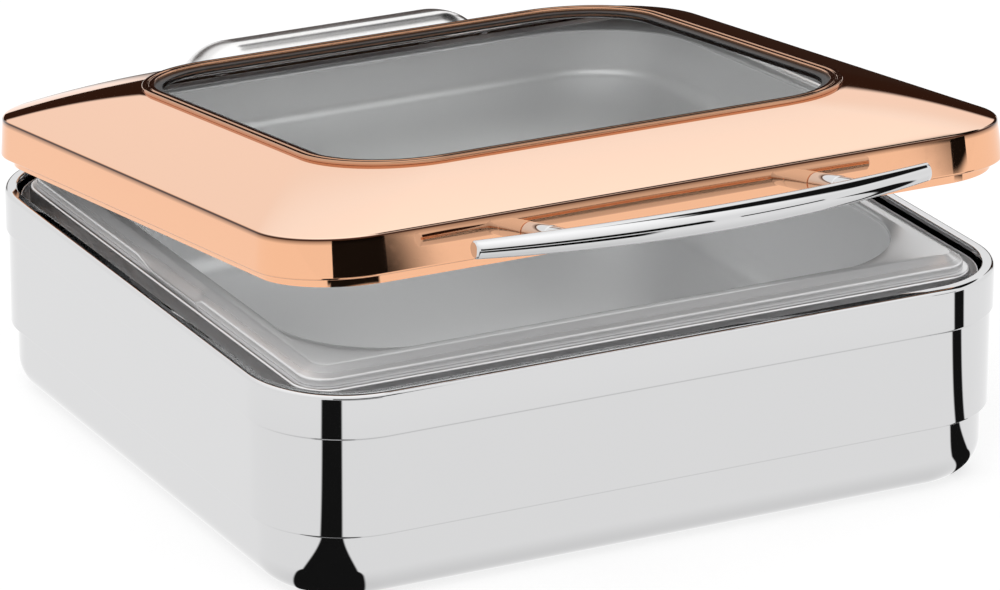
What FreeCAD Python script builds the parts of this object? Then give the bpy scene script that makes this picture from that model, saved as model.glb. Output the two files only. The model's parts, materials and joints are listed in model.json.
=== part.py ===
"""Induction chafing dish for one GN 2/3 food pan, with a hinged, windowed lid.

Frame: millimetres, +X to the right, -Y to the front (handle side), +Z up.
Origin: centre of the underside that rests on the hob.
The lid's pieces are drawn with the lid shut, then turned about the hinge to the ajar rest pose.
"""
import FreeCAD
import Part

import math
import os

import Sketcher
from FreeCAD import Placement, Rotation, Vector

doc = FreeCAD.newDocument("induction_chafer")

# ---------------------------------------------------------------- driving dimensions

DRIVING_DIMENSIONS = [
    ("base_width", 394, "vessel width over the rim, left to right"),
    ("base_depth", 370, "vessel depth over the rim, front to back"),
    ("base_height", 106, "height of the rim"),
    ("base_corner", 50, "plan corner radius at the rim"),
    ("sheet", 1, "sheet thickness of the pressings"),
    ("upper_step_z", 84, "height of the upper pressed step"),
    ("upper_step_inset", 1.5, "inset of the wall below the upper step"),
    ("lower_step_z", 34, "height of the lower pressed step"),
    ("lower_step_inset", 5, "inset of the wall below the lower step"),
    ("bottom_fillet", 26, "radius between wall and underside"),
    ("rim_flange", 6.5, "width of the rolled rim"),
    ("rim_hem", 3, "depth of the rim's turned-down inner edge"),
    ("recess_inset", 41, "inset of the pressed-up recess in the underside"),
    ("recess_height", 2.5, "height of that recess"),
    ("pan_width", 354, "GN 2/3 flange width"),
    ("pan_depth", 325, "GN 2/3 flange depth"),
    ("pan_well_width", 327, "GN 2/3 opening width"),
    ("pan_well_depth", 298, "GN 2/3 opening depth"),
    ("pan_well_corner", 58, "corner radius of the opening"),
    ("pan_top_z", 112, "height of the pan's flange"),
    ("pan_edge_z", 107.5, "height of the pan's outer edge"),
    ("pan_hem_z", 104, "lower end of the pan's edge, on the frame"),
    ("pan_deep", 65, "pan depth"),
    ("lid_band_width", 391.2, "lid width at the skirt's lower edge"),
    ("lid_band_depth", 377.6, "lid depth at the skirt's lower edge"),
    ("lid_band_corner", 44, "plan corner radius there"),
    ("lid_band_z", 114.8, "height of the skirt's lower edge, lid shut"),
    ("lid_crease_z", 133.8, "height of the crease above the skirt, lid shut"),
    ("lid_crease_inset", 2, "inset of the crease from the skirt's lower edge"),
    ("lid_top_z", 150, "height of the sheet round the window, lid shut"),
    ("lid_lip_drop", 4.6, "how far the lower lip hangs below the skirt"),
    ("lid_lip_inset", 5, "inset of the lower lip"),
    ("window_width", 285, "window ring width, outside"),
    ("window_depth", 273.6, "window ring depth, outside"),
    ("window_corner", 52.5, "window ring corner radius, outside"),
    ("glass_thick", 4, "thickness of the pane"),
    ("hinge_y", 204, "hinge axis behind the centre"),
    ("hinge_z", 128, "height of the hinge axis"),
    ("lid_ajar", 7.2, "degrees that the lid stands open at rest"),
    ("shaft_diameter", 8, "hinge shaft"),
    ("handle_length", 238, "handle bar, end to end"),
    ("handle_z", 127, "height of the handle bar, lid shut"),
    ("post_spacing", 151, "distance between the handle posts"),
]

sizes = doc.addObject("Spreadsheet::Sheet", "sizes")
for row, (alias, value, meaning) in enumerate(DRIVING_DIMENSIONS, start=1):
    sizes.set(f"A{row}", meaning)
    sizes.set(f"B{row}", str(value))
    sizes.setAlias(f"B{row}", alias)
doc.recompute()


class Length:
    """A length that carries its value and the sheet expression it comes from."""

    def __init__(self, text, value):
        self.text = text
        self.value = float(value)

    def _with(self, sign, other, flipped=False):
        other = as_length(other)
        left, right = (other, self) if flipped else (self, other)
        value = {"+": left.value + right.value, "-": left.value - right.value,
                 "*": left.value * right.value, "/": left.value / (right.value or 1)}[sign]
        return Length(f"({left.text} {sign} {right.text})", value)

    def __add__(self, other):
        return self._with("+", other)

    def __radd__(self, other):
        return self._with("+", other, flipped=True)

    def __sub__(self, other):
        return self._with("-", other)

    def __rsub__(self, other):
        return self._with("-", other, flipped=True)

    def __mul__(self, other):
        return self._with("*", other)

    def __rmul__(self, other):
        return self._with("*", other, flipped=True)

    def __truediv__(self, other):
        return self._with("/", other)

    def __neg__(self):
        return self * -1


def as_length(number):
    """Turn a plain number into a Length."""
    return number if isinstance(number, Length) else Length(f"{float(number):.6f}", number)


def size(alias):
    """The driving dimension of that name."""
    return Length(f"sizes.{alias}", sizes.get(alias))


base_width, base_depth = size("base_width"), size("base_depth")
base_height, base_corner = size("base_height"), size("base_corner")
sheet = size("sheet")
hinge_y, hinge_z = size("hinge_y"), size("hinge_z")
band_width, band_depth = size("lid_band_width"), size("lid_band_depth")
band_corner, band_z = size("lid_band_corner"), size("lid_band_z")
crease_inset, crease_z = size("lid_crease_inset"), size("lid_crease_z")
window_width, window_depth = size("window_width"), size("window_depth")
window_corner, lid_top_z = size("window_corner"), size("lid_top_z")

# The lid's pieces are turned by this about the hinge axis; the front rises.
LID_POSE = Placement(Vector(0, 0, 0), Rotation(Vector(1, 0, 0), -size("lid_ajar").value),
                     Vector(0, hinge_y.value, hinge_z.value))

nodes = {}


def keep(node, on_lid=False):
    """Mark a document object as a sub-part, and pose it if it belongs to the lid."""
    if on_lid:
        node.Placement = LID_POSE.multiply(node.Placement)
    nodes[node.Label] = node
    return node


# ---------------------------------------------------------------- sketches and PartDesign features


def new_body(label):
    body = doc.addObject("PartDesign::Body", label)
    body.Label = label
    return body


def new_sketch(body, plane="XY_Plane", height=0.0):
    """A sketch on one of the body's own origin planes, raised by height along its normal."""
    sketch = body.newObject("Sketcher::SketchObject", body.Label + "_sketch")
    support = next(f for f in body.Origin.OriginFeatures if f.Role == plane)
    sketch.AttachmentSupport = [(support, "")]
    sketch.MapMode = "FlatFace"
    sketch.setExpression("AttachmentOffset.Base.z", as_length(height).text)
    return sketch


def constrain(sketch, *constraint, value=None):
    """Add a constraint, and bind its value to the sheet where it has one."""
    if value is None:
        sketch.addConstraint(Sketcher.Constraint(*constraint))
        return
    index = sketch.addConstraint(Sketcher.Constraint(*constraint, value.value))
    sketch.setExpression(f"Constraints[{index}]", value.text)


def draw_rounded(sketch, width, depth, corner, middle=0.0):
    """A rounded rectangle, symmetrical about the sketch's vertical axis."""
    width, depth, corner, middle = (as_length(v) for v in (width, depth, corner, middle))
    half_w, half_d, r, mid = width.value / 2, depth.value / 2, corner.value, middle.value
    first = sketch.GeometryCount
    corners = [(half_w - r, mid + half_d), (half_w, mid + half_d - r), (half_w, mid - half_d + r),
               (half_w - r, mid - half_d), (-half_w + r, mid - half_d), (-half_w, mid - half_d + r),
               (-half_w, mid + half_d - r), (-half_w + r, mid + half_d)]
    points = [Vector(x, y, 0) for x, y in corners]
    for k in range(4):
        sketch.addGeometry(Part.LineSegment(points[2 * k + 1], points[(2 * k + 2) % 8]), False)
    quarter = math.pi / 2
    centres = [(half_w - r, mid + half_d - r, 0), (half_w - r, mid - half_d + r, 3),
               (-half_w + r, mid - half_d + r, 2), (-half_w + r, mid + half_d - r, 1)]
    for x, y, turn in centres:
        circle = Part.Circle(Vector(x, y, 0), Vector(0, 0, 1), r)
        sketch.addGeometry(Part.ArcOfCircle(circle, turn * quarter, (turn + 1) * quarter), False)
    right, bottom, left, top = range(first, first + 4)
    arcs = list(range(first + 4, first + 8))
    for arc, (start_line, start_end), (end_line, end_end) in (
            (arcs[0], (right, 1), (top, 2)), (arcs[1], (bottom, 1), (right, 2)),
            (arcs[2], (left, 1), (bottom, 2)), (arcs[3], (top, 1), (left, 2))):
        constrain(sketch, "Tangent", arc, 1, start_line, start_end)
        constrain(sketch, "Tangent", arc, 2, end_line, end_end)
    for line in (right, left):
        constrain(sketch, "Vertical", line)
    for line in (top, bottom):
        constrain(sketch, "Horizontal", line)
    for arc in arcs[1:]:
        constrain(sketch, "Equal", arcs[0], arc)
    constrain(sketch, "DistanceX", -1, 1, right, 1, value=width / 2)
    constrain(sketch, "Radius", arcs[0], value=corner)
    constrain(sketch, "DistanceX", left, 1, right, 1, value=width)
    constrain(sketch, "DistanceY", bottom, 1, top, 1, value=depth)
    constrain(sketch, "DistanceY", -1, 1, top, 1, value=middle + depth / 2)


def draw_polygon(sketch, points):
    """A closed outline whose corners are tied to the sheet."""
    points = [(as_length(x), as_length(y)) for x, y in points]
    first = sketch.GeometryCount
    count = len(points)
    vectors = [Vector(x.value, y.value, 0) for x, y in points]
    for k in range(count):
        sketch.addGeometry(Part.LineSegment(vectors[k], vectors[(k + 1) % count]), False)
    for k, (x, y) in enumerate(points):
        constrain(sketch, "Coincident", first + k, 2, first + (k + 1) % count, 1)
        constrain(sketch, "DistanceX", -1, 1, first + k, 1, value=x)
        constrain(sketch, "DistanceY", -1, 1, first + k, 1, value=y)


def draw_circles(sketch, centres, diameter):
    diameter = as_length(diameter)
    for x, y in centres:
        x, y = as_length(x), as_length(y)
        index = sketch.addGeometry(
            Part.Circle(Vector(x.value, y.value, 0), Vector(0, 0, 1), diameter.value / 2), False)
        constrain(sketch, "Diameter", index, value=diameter)
        constrain(sketch, "DistanceX", -1, 1, index, 3, value=x)
        constrain(sketch, "DistanceY", -1, 1, index, 3, value=y)


def extrude(body, kind, sketch, length, reverse=False, both_ways=False):
    """A Pad or Pocket of that length, along the sketch's normal unless reversed."""
    feature = body.newObject(f"PartDesign::{kind}", body.Label + "_" + kind.lower())
    feature.Profile = sketch
    feature.setExpression("Length", as_length(length).text)
    feature.Reversed = reverse
    if both_ways:
        feature.Midplane = True
    sketch.Visibility = False
    doc.recompute()
    return feature


def block(body, outline, low, high):
    """A solid slab between two heights; outline is (width, depth, corner)."""
    sketch = new_sketch(body, height=low)
    draw_rounded(sketch, *outline)
    return extrude(body, "Pad", sketch, as_length(high) - low)


def ring(body, outer, inner, low, high):
    """A closed band between two outlines and two heights."""
    sketch = new_sketch(body, height=low)
    draw_rounded(sketch, *outer)
    draw_rounded(sketch, *inner)
    return extrude(body, "Pad", sketch, as_length(high) - low)


def hollow(body, outline, low, high):
    """Cut a well between two heights."""
    sketch = new_sketch(body, height=low)
    draw_rounded(sketch, *outline)
    feature = extrude(body, "Pocket", sketch, as_length(high) - low)
    feature.Reversed = True
    doc.recompute()
    return feature


def loft(body, kind, levels, ruled=True):
    """An AdditiveLoft or SubtractiveLoft through (outline, height) levels."""
    sketches = []
    for outline, height in levels:
        sketch = new_sketch(body, height=height)
        draw_rounded(sketch, *outline)
        sketch.Visibility = False
        sketches.append(sketch)
    doc.recompute()
    feature = body.newObject(f"PartDesign::{kind}", body.Label + "_" + kind.lower())
    feature.Profile = sketches[0]
    feature.Sections = sketches[1:]
    feature.Ruled = ruled
    doc.recompute()
    return feature


def round_edges(body, radius, chosen, kind="Fillet"):
    """Fillet or chamfer the tip's edges that chosen(edge) picks."""
    tip = body.Tip
    names = [f"Edge{k}" for k, edge in enumerate(tip.Shape.Edges, start=1) if chosen(edge)]
    feature = body.newObject(f"PartDesign::{kind}", body.Label + "_" + kind.lower())
    feature.Base = (tip, names)
    if kind == "Fillet":
        feature.Radius = as_length(radius).value
        feature.setExpression("Radius", as_length(radius).text)
    else:
        feature.Size = as_length(radius).value
        feature.setExpression("Size", as_length(radius).text)
    doc.recompute()
    return feature


def subtract(body, tool):
    """Cut another body out of this one."""
    feature = body.newObject("PartDesign::Boolean", body.Label + "_cut")
    feature.Type = "Cut"
    feature.addObjects([tool])
    doc.recompute()
    return feature


def drill(body, plane, centres, diameter, start, depth):
    """Round holes: towards -Z on the XY plane, +Y on XZ and -X on YZ, from start along that axis."""
    height = -as_length(start) if plane == "XZ_Plane" else start
    sketch = new_sketch(body, plane, height)
    draw_circles(sketch, centres, diameter)
    return extrude(body, "Pocket", sketch, depth)


def web(body, points, low_x, high_x):
    """A plate whose outline lies in the YZ plane, between two X values."""
    sketch = new_sketch(body, "YZ_Plane", low_x)
    draw_polygon(sketch, points)
    return extrude(body, "Pad", sketch, as_length(high_x) - low_x)


def at_height(z, reach_x=0.0, reach_y=0.0, tolerance=0.05):
    """Pick edges that lie flat at height z and reach out to at least reach_x or reach_y."""
    z, reach_x, reach_y = (as_length(v).value for v in (z, reach_x, reach_y))

    def chosen(edge):
        box = edge.BoundBox
        flat = abs(box.ZMin - z) < tolerance and abs(box.ZMax - z) < tolerance
        far_x = max(abs(box.XMin), abs(box.XMax)) >= reach_x - tolerance
        far_y = max(abs(box.YMin), abs(box.YMax)) >= reach_y - tolerance
        return flat and far_x and far_y

    return chosen


def inset(width, depth, corner, by):
    """The outline that lies by inside the given one."""
    return (as_length(width) - 2 * as_length(by), as_length(depth) - 2 * as_length(by),
            as_length(corner) - by)


def rim_outline(by):
    return inset(base_width, base_depth, base_corner, by)


def band_outline(by):
    return inset(band_width, band_depth, band_corner, by)


def window_outline(by):
    return inset(window_width, window_depth, window_corner, by)


# ---------------------------------------------------------------- Part primitives and booleans


def bind(feature, **values):
    """Tie a primitive's properties to the sheet."""
    for name, value in values.items():
        feature.setExpression(name, as_length(value).text)
    return feature


def box(label, low, high):
    """A Part::Box between two corners."""
    low = [as_length(v) for v in low]
    high = [as_length(v) for v in high]
    solid = doc.addObject("Part::Box", label)
    bind(solid, Length=high[0] - low[0], Width=high[1] - low[1], Height=high[2] - low[2])
    solid.Placement.Base = Vector(*(v.value for v in low))
    return solid


AXES = {"x": Rotation(Vector(0, 0, 1), Vector(1, 0, 0)), "y": Rotation(Vector(0, 0, 1), Vector(0, 1, 0)),
        "z": Rotation(), "-y": Rotation(Vector(0, 0, 1), Vector(0, -1, 0))}


def rod(label, start, axis, diameter, length):
    """A Part::Cylinder that starts at a point and runs along x, y, -y or z."""
    solid = doc.addObject("Part::Cylinder", label)
    bind(solid, Radius=as_length(diameter) / 2, Height=length)
    solid.Placement = Placement(Vector(*(as_length(v).value for v in start)), AXES[axis])
    return solid


def hexagon(label, start, axis, across_flats, length):
    solid = doc.addObject("Part::Prism", label)
    solid.Polygon = 6
    bind(solid, Circumradius=as_length(across_flats) / math.sqrt(3), Height=length)
    solid.Placement = Placement(Vector(*(as_length(v).value for v in start)), AXES[axis])
    return solid


def fuse(label, shapes):
    joined = doc.addObject("Part::MultiFuse", label)
    joined.Shapes = shapes
    joined.Refine = True
    return joined


def cut(label, base, tool):
    result = doc.addObject("Part::Cut", label)
    result.Base = base
    result.Tool = tool
    return result


def group(label, solids):
    """Separate solids that share one node."""
    compound = doc.addObject("Part::Compound", label)
    compound.Links = solids
    return compound


def stepped_rods(label, place, axis, steps):
    """Coaxial cylinders joined end to end; steps is a list of (from, to, diameter) along the axis."""
    direction = AXES[axis].multVec(Vector(0, 0, 1))
    base = Vector(*(as_length(v).value for v in place))
    rods = []
    for k, (start, end, diameter) in enumerate(steps):
        point = base + direction * as_length(start).value
        rods.append(rod(f"{label}_{k}", tuple(point), axis, diameter, as_length(end) - start))
    return fuse(label, rods)


def washers(label, places, axis, outer, inner, thick):
    rings = []
    for k, place in enumerate(places):
        disc = rod(f"{label}_disc_{k}", place, axis, outer, thick)
        hole = rod(f"{label}_hole_{k}", place, axis, inner, thick)
        rings.append(cut(f"{label}_{k}", disc, hole))
    return group(label, rings)


def nuts(label, places, axis, across_flats, inner, thick):
    made = []
    for k, place in enumerate(places):
        body = hexagon(f"{label}_hex_{k}", place, axis, across_flats, thick)
        hole = rod(f"{label}_hole_{k}", place, axis, inner, thick)
        made.append(cut(f"{label}_{k}", body, hole))
    return group(label, made)


# ---------------------------------------------------------------- shared places

RIM_ROLL = 2.2                      # outer radius of the rolled rim
PAN_CORNER = 14                     # plan corner radius of the GN flange
BOLT = 5                            # M5 fixings of the hinge and handle
BOLT_HOLE = 5.3
BOLT_HEAD, BOLT_HEAD_HIGH = 8.5, 2.8
BOLT_FLATS, BOLT_NUT_HIGH = 8, 4
WASHER, WASHER_HIGH = 9.5, 1.0
FIT = 0.05                          # gap between pieces that are pressed or screwed together
THREAD_GAP = 0.1                    # a nut's or tapped hole's bore is this much wider than its screw

BRACKET_BOLTS = [(x, z) for x in (-58, 58) for z in (72, 94)]
ARM_BOLTS = [(x, 123.5) for x in (-26, -10, 10, 26)]
COVER_SCREWS = [(-50, 170), (50, 170)]
STUD_PLACES = [(x, y) for x in (-90, 90) for y in (-140.8, 140.8)]
STUD_PLACES += [(x, y) for x in (-146.5, 146.5) for y in (-85, 85)]


# ---------------------------------------------------------------- vessel


def make_vessel_form(label, skin):
    """The vessel as a solid block of three stacked bands, skin inside the real outer surface."""
    upper_z, lower_z = size("upper_step_z"), size("lower_step_z")
    body = new_body(label)
    block(body, rim_outline(size("lower_step_inset") + skin), skin, lower_z + skin)
    block(body, rim_outline(size("upper_step_inset") + skin), lower_z + skin, upper_z + skin)
    block(body, rim_outline(skin), upper_z + skin, base_height)
    round_edges(body, size("bottom_fillet") - skin, at_height(skin))
    return body


def make_base_shell():
    """Deep-drawn vessel with a rolled rim and a recess pressed up into its underside."""
    flange, hem = size("rim_flange"), size("rim_hem")
    recess, recess_top = size("recess_inset"), size("recess_height")
    body = make_vessel_form("base_shell", as_length(0))
    subtract(body, make_vessel_form("vessel_cavity", sheet))
    ring(body, rim_outline(sheet / 2), rim_outline(flange), base_height - sheet, base_height)
    ring(body, rim_outline(flange - sheet), rim_outline(flange), base_height - hem, base_height - sheet / 2)
    round_edges(body, RIM_ROLL, at_height(base_height, reach_y=base_depth / 2))
    block(body, rim_outline(recess - sheet), sheet / 2, recess_top + sheet)
    sketch = new_sketch(body)
    draw_rounded(sketch, *rim_outline(recess))
    extrude(body, "Pocket", sketch, recess_top, reverse=True)
    drill(body, "XZ_Plane", BRACKET_BOLTS, BOLT_HOLE, base_depth / 2 - 6, 8)
    return keep(body)


def make_induction_plate():
    """Ferritic plate bonded into the recess of the underside; it carries the whole dish."""
    body = new_body("induction_plate")
    block(body, rim_outline(size("recess_inset") + 0.3), 0, size("recess_height") - FIT)
    round_edges(body, 0.8, at_height(0), kind="Chamfer")
    return keep(body)


FRAME_GAP = 7.6                     # the frame drops through the rim opening
FRAME_FLOOR = 91                    # underside of the drip channel
FRAME_LIP = 101                     # top of the channel's outer lip
LEDGE_OUT = -3.5                    # the ledge reaches this far past the pan's edge
LEDGE_IN = 6


def pan_outline(by):
    return inset(size("pan_width"), size("pan_depth"), PAN_CORNER, by)


def make_pan_frame():
    """Insert frame: outer lip, drip channel, and the ledge that the pan hangs on."""
    ledge_z = size("pan_hem_z") - FIT
    body = new_body("pan_frame")
    ring(body, rim_outline(FRAME_GAP), pan_outline(LEDGE_OUT + sheet), FRAME_FLOOR, FRAME_FLOOR + sheet)
    ring(body, rim_outline(FRAME_GAP), rim_outline(FRAME_GAP + sheet), FRAME_FLOOR, FRAME_LIP)
    ring(body, pan_outline(LEDGE_OUT), pan_outline(LEDGE_OUT + sheet), FRAME_FLOOR, ledge_z)
    ring(body, pan_outline(LEDGE_OUT), pan_outline(LEDGE_IN), ledge_z - sheet, ledge_z)
    ring(body, pan_outline(LEDGE_IN - sheet), pan_outline(LEDGE_IN), ledge_z - 7, ledge_z - sheet / 2)
    return keep(body)


def make_frame_rest_brackets():
    """Four angle brackets welded to the vessel's inner wall, under the drip channel."""
    width, leg, reach, thick = 24, 5, 13, 1.5
    brackets = []
    for x in (-110, 110):
        for side in (-1, 1):
            wall = base_depth / 2 - sheet
            low_y, high_y = sorted((side * wall.value, side * (wall.value - reach)))
            low_leg, high_leg = sorted((side * wall.value, side * (wall.value - thick)))
            name = f"rest_{'left' if x < 0 else 'right'}_{'front' if side < 0 else 'rear'}"
            top = FRAME_FLOOR - FIT
            shelf = box(name + "_shelf", (x - width / 2, low_y, top - thick), (x + width / 2, high_y, top))
            back = box(name + "_back", (x - width / 2, low_leg, top - leg), (x + width / 2, high_leg, top))
            brackets.append(fuse(name, [shelf, back]))
    return keep(group("frame_rest_brackets", brackets))


WELL_TAPER = 11                     # each wall of the well leans in by this much
WELL_FILLET = 20
BEAD_RUN = 7                        # run of the sloping bead between the edge and the flat flange
NOTCH_IN = 3.5                      # depth of the finger notches in the side edges
NOTCH_FRONT, NOTCH_REAR, NOTCH_RAMP = -38, 22, 12


def well_outline(by):
    return inset(size("pan_well_width"), size("pan_well_depth"), size("pan_well_corner"), by)


def make_pan_form(label, skin):
    """The pan as a solid: edge, sloping bead, flat flange and tapered well, drawn in by skin."""
    top, edge, hem = (size(n) for n in ("pan_top_z", "pan_edge_z", "pan_hem_z"))
    body = new_body(label)
    block(body, pan_outline(skin), hem, edge - skin * 0.6)
    loft(body, "AdditiveLoft", [(pan_outline(skin), edge - skin * 0.6),
                                (pan_outline(BEAD_RUN + skin * 0.6), top - skin)])
    return body


def make_food_pan():
    """GN 2/3 pan: hemmed edge, sloping bead, flat flange and a rounded well."""
    top, deep = size("pan_top_z"), size("pan_deep")
    body = make_pan_form("food_pan", as_length(0))
    subtract(body, make_pan_form("pan_flange_cavity", sheet))
    well = make_well_form("pan_well_outside", as_length(0), top - sheet / 2, top - deep)
    feature = body.newObject("PartDesign::Boolean", "food_pan_well")
    feature.Type = "Fuse"
    feature.addObjects([well])
    doc.recompute()
    subtract(body, make_well_form("pan_well_inside", sheet, top + 1, top - deep + sheet))
    for side in (-1, 1):
        edge_x = size("pan_width") / 2
        notch = new_sketch(body, height=size("pan_top_z"))
        low, high = edge_x - NOTCH_IN, edge_x + 2
        draw_polygon(notch, [(side * low, NOTCH_FRONT), (side * high, NOTCH_FRONT),
                             (side * high, NOTCH_REAR + NOTCH_RAMP), (side * low, NOTCH_REAR)])
        extrude(body, "Pocket", notch, top - size("pan_hem_z") + 1)
    return keep(body)


def make_well_form(label, skin, high, low):
    """A tapered block with rounded lower edges, skin inside the pan's outer surface."""
    body = new_body(label)
    loft(body, "AdditiveLoft", [(well_outline(skin - sheet), high),
                                (well_outline(WELL_TAPER + skin - sheet), low)])
    round_edges(body, WELL_FILLET - skin, at_height(low))
    return body


# ---------------------------------------------------------------- lid

LID_BULGE = 1.6                     # how far the slope rises above a straight line
SLOPE_DROP = 1.05                   # sheet thickness measured straight down through the slope
BOSS_HIGH = 1.8                     # height of the pressed pad under the hinge cover
BOSS_HALF = 89


SLOPE_SHARES = (0, 0.2, 0.4, 0.6, 0.8, 1)      # stations from the crease (0) to the window (1)


def slope_outline(share, by):
    """The slope's outline between the crease and the window, drawn in by a distance."""
    crease = band_outline(crease_inset + by)
    window = window_outline(by)
    return tuple(low * (1 - share) + high * share for low, high in zip(crease, window))


def slope_height(share):
    """Height of the crowned slope at a station."""
    return crease_z * (1 - share) + lid_top_z * share + LID_BULGE * 4 * share * (1 - share)


def make_lid_form(label, skin, low):
    """The lid as a solid block: leaning skirt and crowned slope, drawn in by skin."""
    drop = skin * SLOPE_DROP
    body = new_body(label)
    crease = (band_outline(crease_inset + skin), crease_z - drop)
    loft(body, "AdditiveLoft", [(band_outline(skin), low), crease])
    loft(body, "AdditiveLoft", [(slope_outline(share, skin), slope_height(share) - drop)
                                for share in SLOPE_SHARES])
    return body


def slope_z(y):
    """Height of the lid's slope behind the window, on its centre line."""
    crease_y = band_depth.value / 2 - crease_inset.value
    share = (crease_y - y) / (crease_y - window_depth.value / 2)
    return slope_height(share).value


def add_boss(body, swell):
    """A pressed pad on the rear slope, where the hinge cover sits."""
    front, fold, rear = 151.0, 161.8, 184.0
    lower = [(y, slope_z(y) - 0.6) for y in (front, fold, rear)]
    upper = [(y, slope_z(y) + BOSS_HIGH + swell) for y in (rear, fold, front + 1)]
    web(body, lower + upper, -BOSS_HALF - swell, BOSS_HALF + swell)


def make_lid_shell():
    """Deep-drawn lid: leaning skirt, lower lip, crowned slope, window opening and screw holes."""
    lip_in, lip_drop = size("lid_lip_inset"), size("lid_lip_drop")
    body = make_lid_form("lid_shell", as_length(0), band_z)
    subtract(body, make_lid_form("lid_cavity", sheet, band_z + sheet))
    hollow(body, window_outline(4), lid_top_z - 3, lid_top_z + 1)
    hollow(body, band_outline(lip_in + sheet), band_z - 1, band_z + sheet + 1)
    ring(body, band_outline(lip_in), band_outline(lip_in + sheet), band_z - lip_drop, band_z + sheet / 2)
    add_boss(body, 0.0)
    feet = [post_foot(side * size("post_spacing").value / 2) for side in (-1, 1)]
    posts = [(foot.x, foot.z) for foot in feet]
    drill(body, "XZ_Plane", posts, BOLT_HOLE, -band_depth / 2 - 1, 6)
    drill(body, "XZ_Plane", ARM_BOLTS, BOLT_HOLE, band_depth / 2 - 5, 6)
    drill(body, "XY_Plane", COVER_SCREWS, 4.3, lid_top_z, 14)
    return keep(body, on_lid=True)


BEZEL_WIDE, BEZEL_HIGH = 6.2, 1.8
COLLAR_OUT, COLLAR_IN = 4.3, 5.5
PANE_INSET = 6.5
PANE_TOP = -0.4                     # the pane's top face, from the lid's top
GASKET_OUT, GASKET_IN = 5.6, 10
CLAMP_HIGH = 1.2


def make_window_bezel():
    """Ring on the lid's top edge with a collar down through the opening and a fine groove."""
    low = lid_top_z + FIT
    body = new_body("window_bezel")
    ring(body, window_outline(0), window_outline(BEZEL_WIDE), low, low + BEZEL_HIGH)
    ring(body, window_outline(COLLAR_OUT), window_outline(COLLAR_IN), lid_top_z - 5, low + 1)
    sketch = new_sketch(body, height=low + BEZEL_HIGH)
    draw_rounded(sketch, *window_outline(2.6))
    draw_rounded(sketch, *window_outline(3.4))
    extrude(body, "Pocket", sketch, 0.5)
    round_edges(body, 0.6, at_height(low + BEZEL_HIGH, reach_y=window_depth / 2))
    return keep(body, on_lid=True)


def make_window_glass():
    body = new_body("window_glass")
    high = lid_top_z + PANE_TOP
    block(body, window_outline(PANE_INSET), high - size("glass_thick"), high)
    round_edges(body, 0.5, at_height(high), kind="Chamfer")
    return keep(body, on_lid=True)


def make_window_gasket():
    """Silicone channel that wraps the pane's edge."""
    high = lid_top_z + PANE_TOP
    body = new_body("window_gasket")
    ring(body, window_outline(GASKET_OUT), window_outline(GASKET_IN), high - 4.7, high + 0.4)
    hollow(body, window_outline(PANE_INSET - FIT), high - size("glass_thick") - FIT, high + FIT)
    return keep(body, on_lid=True)


def make_window_clamp_frame():
    """Inner frame that presses the gasket and pane up against the bezel."""
    high = lid_top_z - 5.15
    body = new_body("window_clamp_frame")
    ring(body, window_outline(-9), window_outline(9.5), high - CLAMP_HIGH, high)
    drill(body, "XY_Plane", STUD_PLACES, 4.3, high + 1, 4)
    return keep(body, on_lid=True)


def make_window_fixings():
    """Weld studs under the lid and the nuts that pull the clamp frame up."""
    under = lid_top_z.value - 5.15 - CLAMP_HIGH - FIT
    studs = [rod(f"stud_{k}", (x, y, under - 4), "z", 4, lid_top_z - 2.7 - (under - 4))
             for k, (x, y) in enumerate(STUD_PLACES)]
    keep(group("window_studs", studs), on_lid=True)
    places = [(x, y, under - 3.2) for x, y in STUD_PLACES]
    keep(nuts("window_nuts", places, "z", 7, 4.1, 3.2), on_lid=True)


def make_lid_rest_bumpers():
    """Silicone pads clipped over the lid's rear lip; they meet the rim when the lid shuts."""
    long, wide, high = 16, 4, 6.4
    lip_y = band_depth / 2 - size("lid_lip_inset")
    lip_z = band_z - size("lid_lip_drop")
    middle = lip_y.value - sheet.value / 2
    low = base_height + FIT
    half_slot = sheet.value / 2 + FIT
    pads = []
    for x in (-120, 120):
        name = f"bumper_{'left' if x < 0 else 'right'}"
        pad = box(name + "_pad", (x - long / 2, middle - wide / 2, low),
                  (x + long / 2, middle + wide / 2, low + high))
        slot = box(name + "_slot", (x - long, middle - half_slot, lip_z - FIT),
                   (x + long, middle + half_slot, band_z))
        pads.append(cut(name, pad, slot))
    return keep(group("lid_rest_bumpers", pads), on_lid=True)


# ---------------------------------------------------------------- handle

BAR_END_Y, BAR_BOW = -217, 18.5     # where the bar's ends stand, and how far its middle bows out
BAR_END_RADIUS, BAR_MIDDLE_RADIUS = 4.3, 6.2
POST_DIAMETER = 10.4
POST_THREAD = 18                    # depth of the tapped hole in the post
SKIRT_LEAN = crease_inset.value / (crease_z.value - band_z.value)      # the posts stand square to the skirt
AXES["post"] = Rotation(Vector(0, 0, 1), Vector(0, -1, SKIRT_LEAN))


def bar_centre(x):
    """Middle of the bar at a distance x from the centre line: (y, radius)."""
    share = 1 - (2 * x / size("handle_length").value) ** 2
    y = BAR_END_Y - BAR_BOW * share
    radius = BAR_END_RADIUS + (BAR_MIDDLE_RADIUS - BAR_END_RADIUS) * share
    return y, radius


def post_foot(x):
    """Where a post's axis leaves the skirt, so that it rises square to the skirt into the bar's centre."""
    bar_y, _ = bar_centre(x)
    reach = -bar_y - band_depth.value / 2 - SKIRT_LEAN * band_z.value
    z = (size("handle_z").value - SKIRT_LEAN * reach) / (1 + SKIRT_LEAN ** 2)
    return Vector(x, SKIRT_LEAN * (z - band_z.value) - band_depth.value / 2, z)


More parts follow.
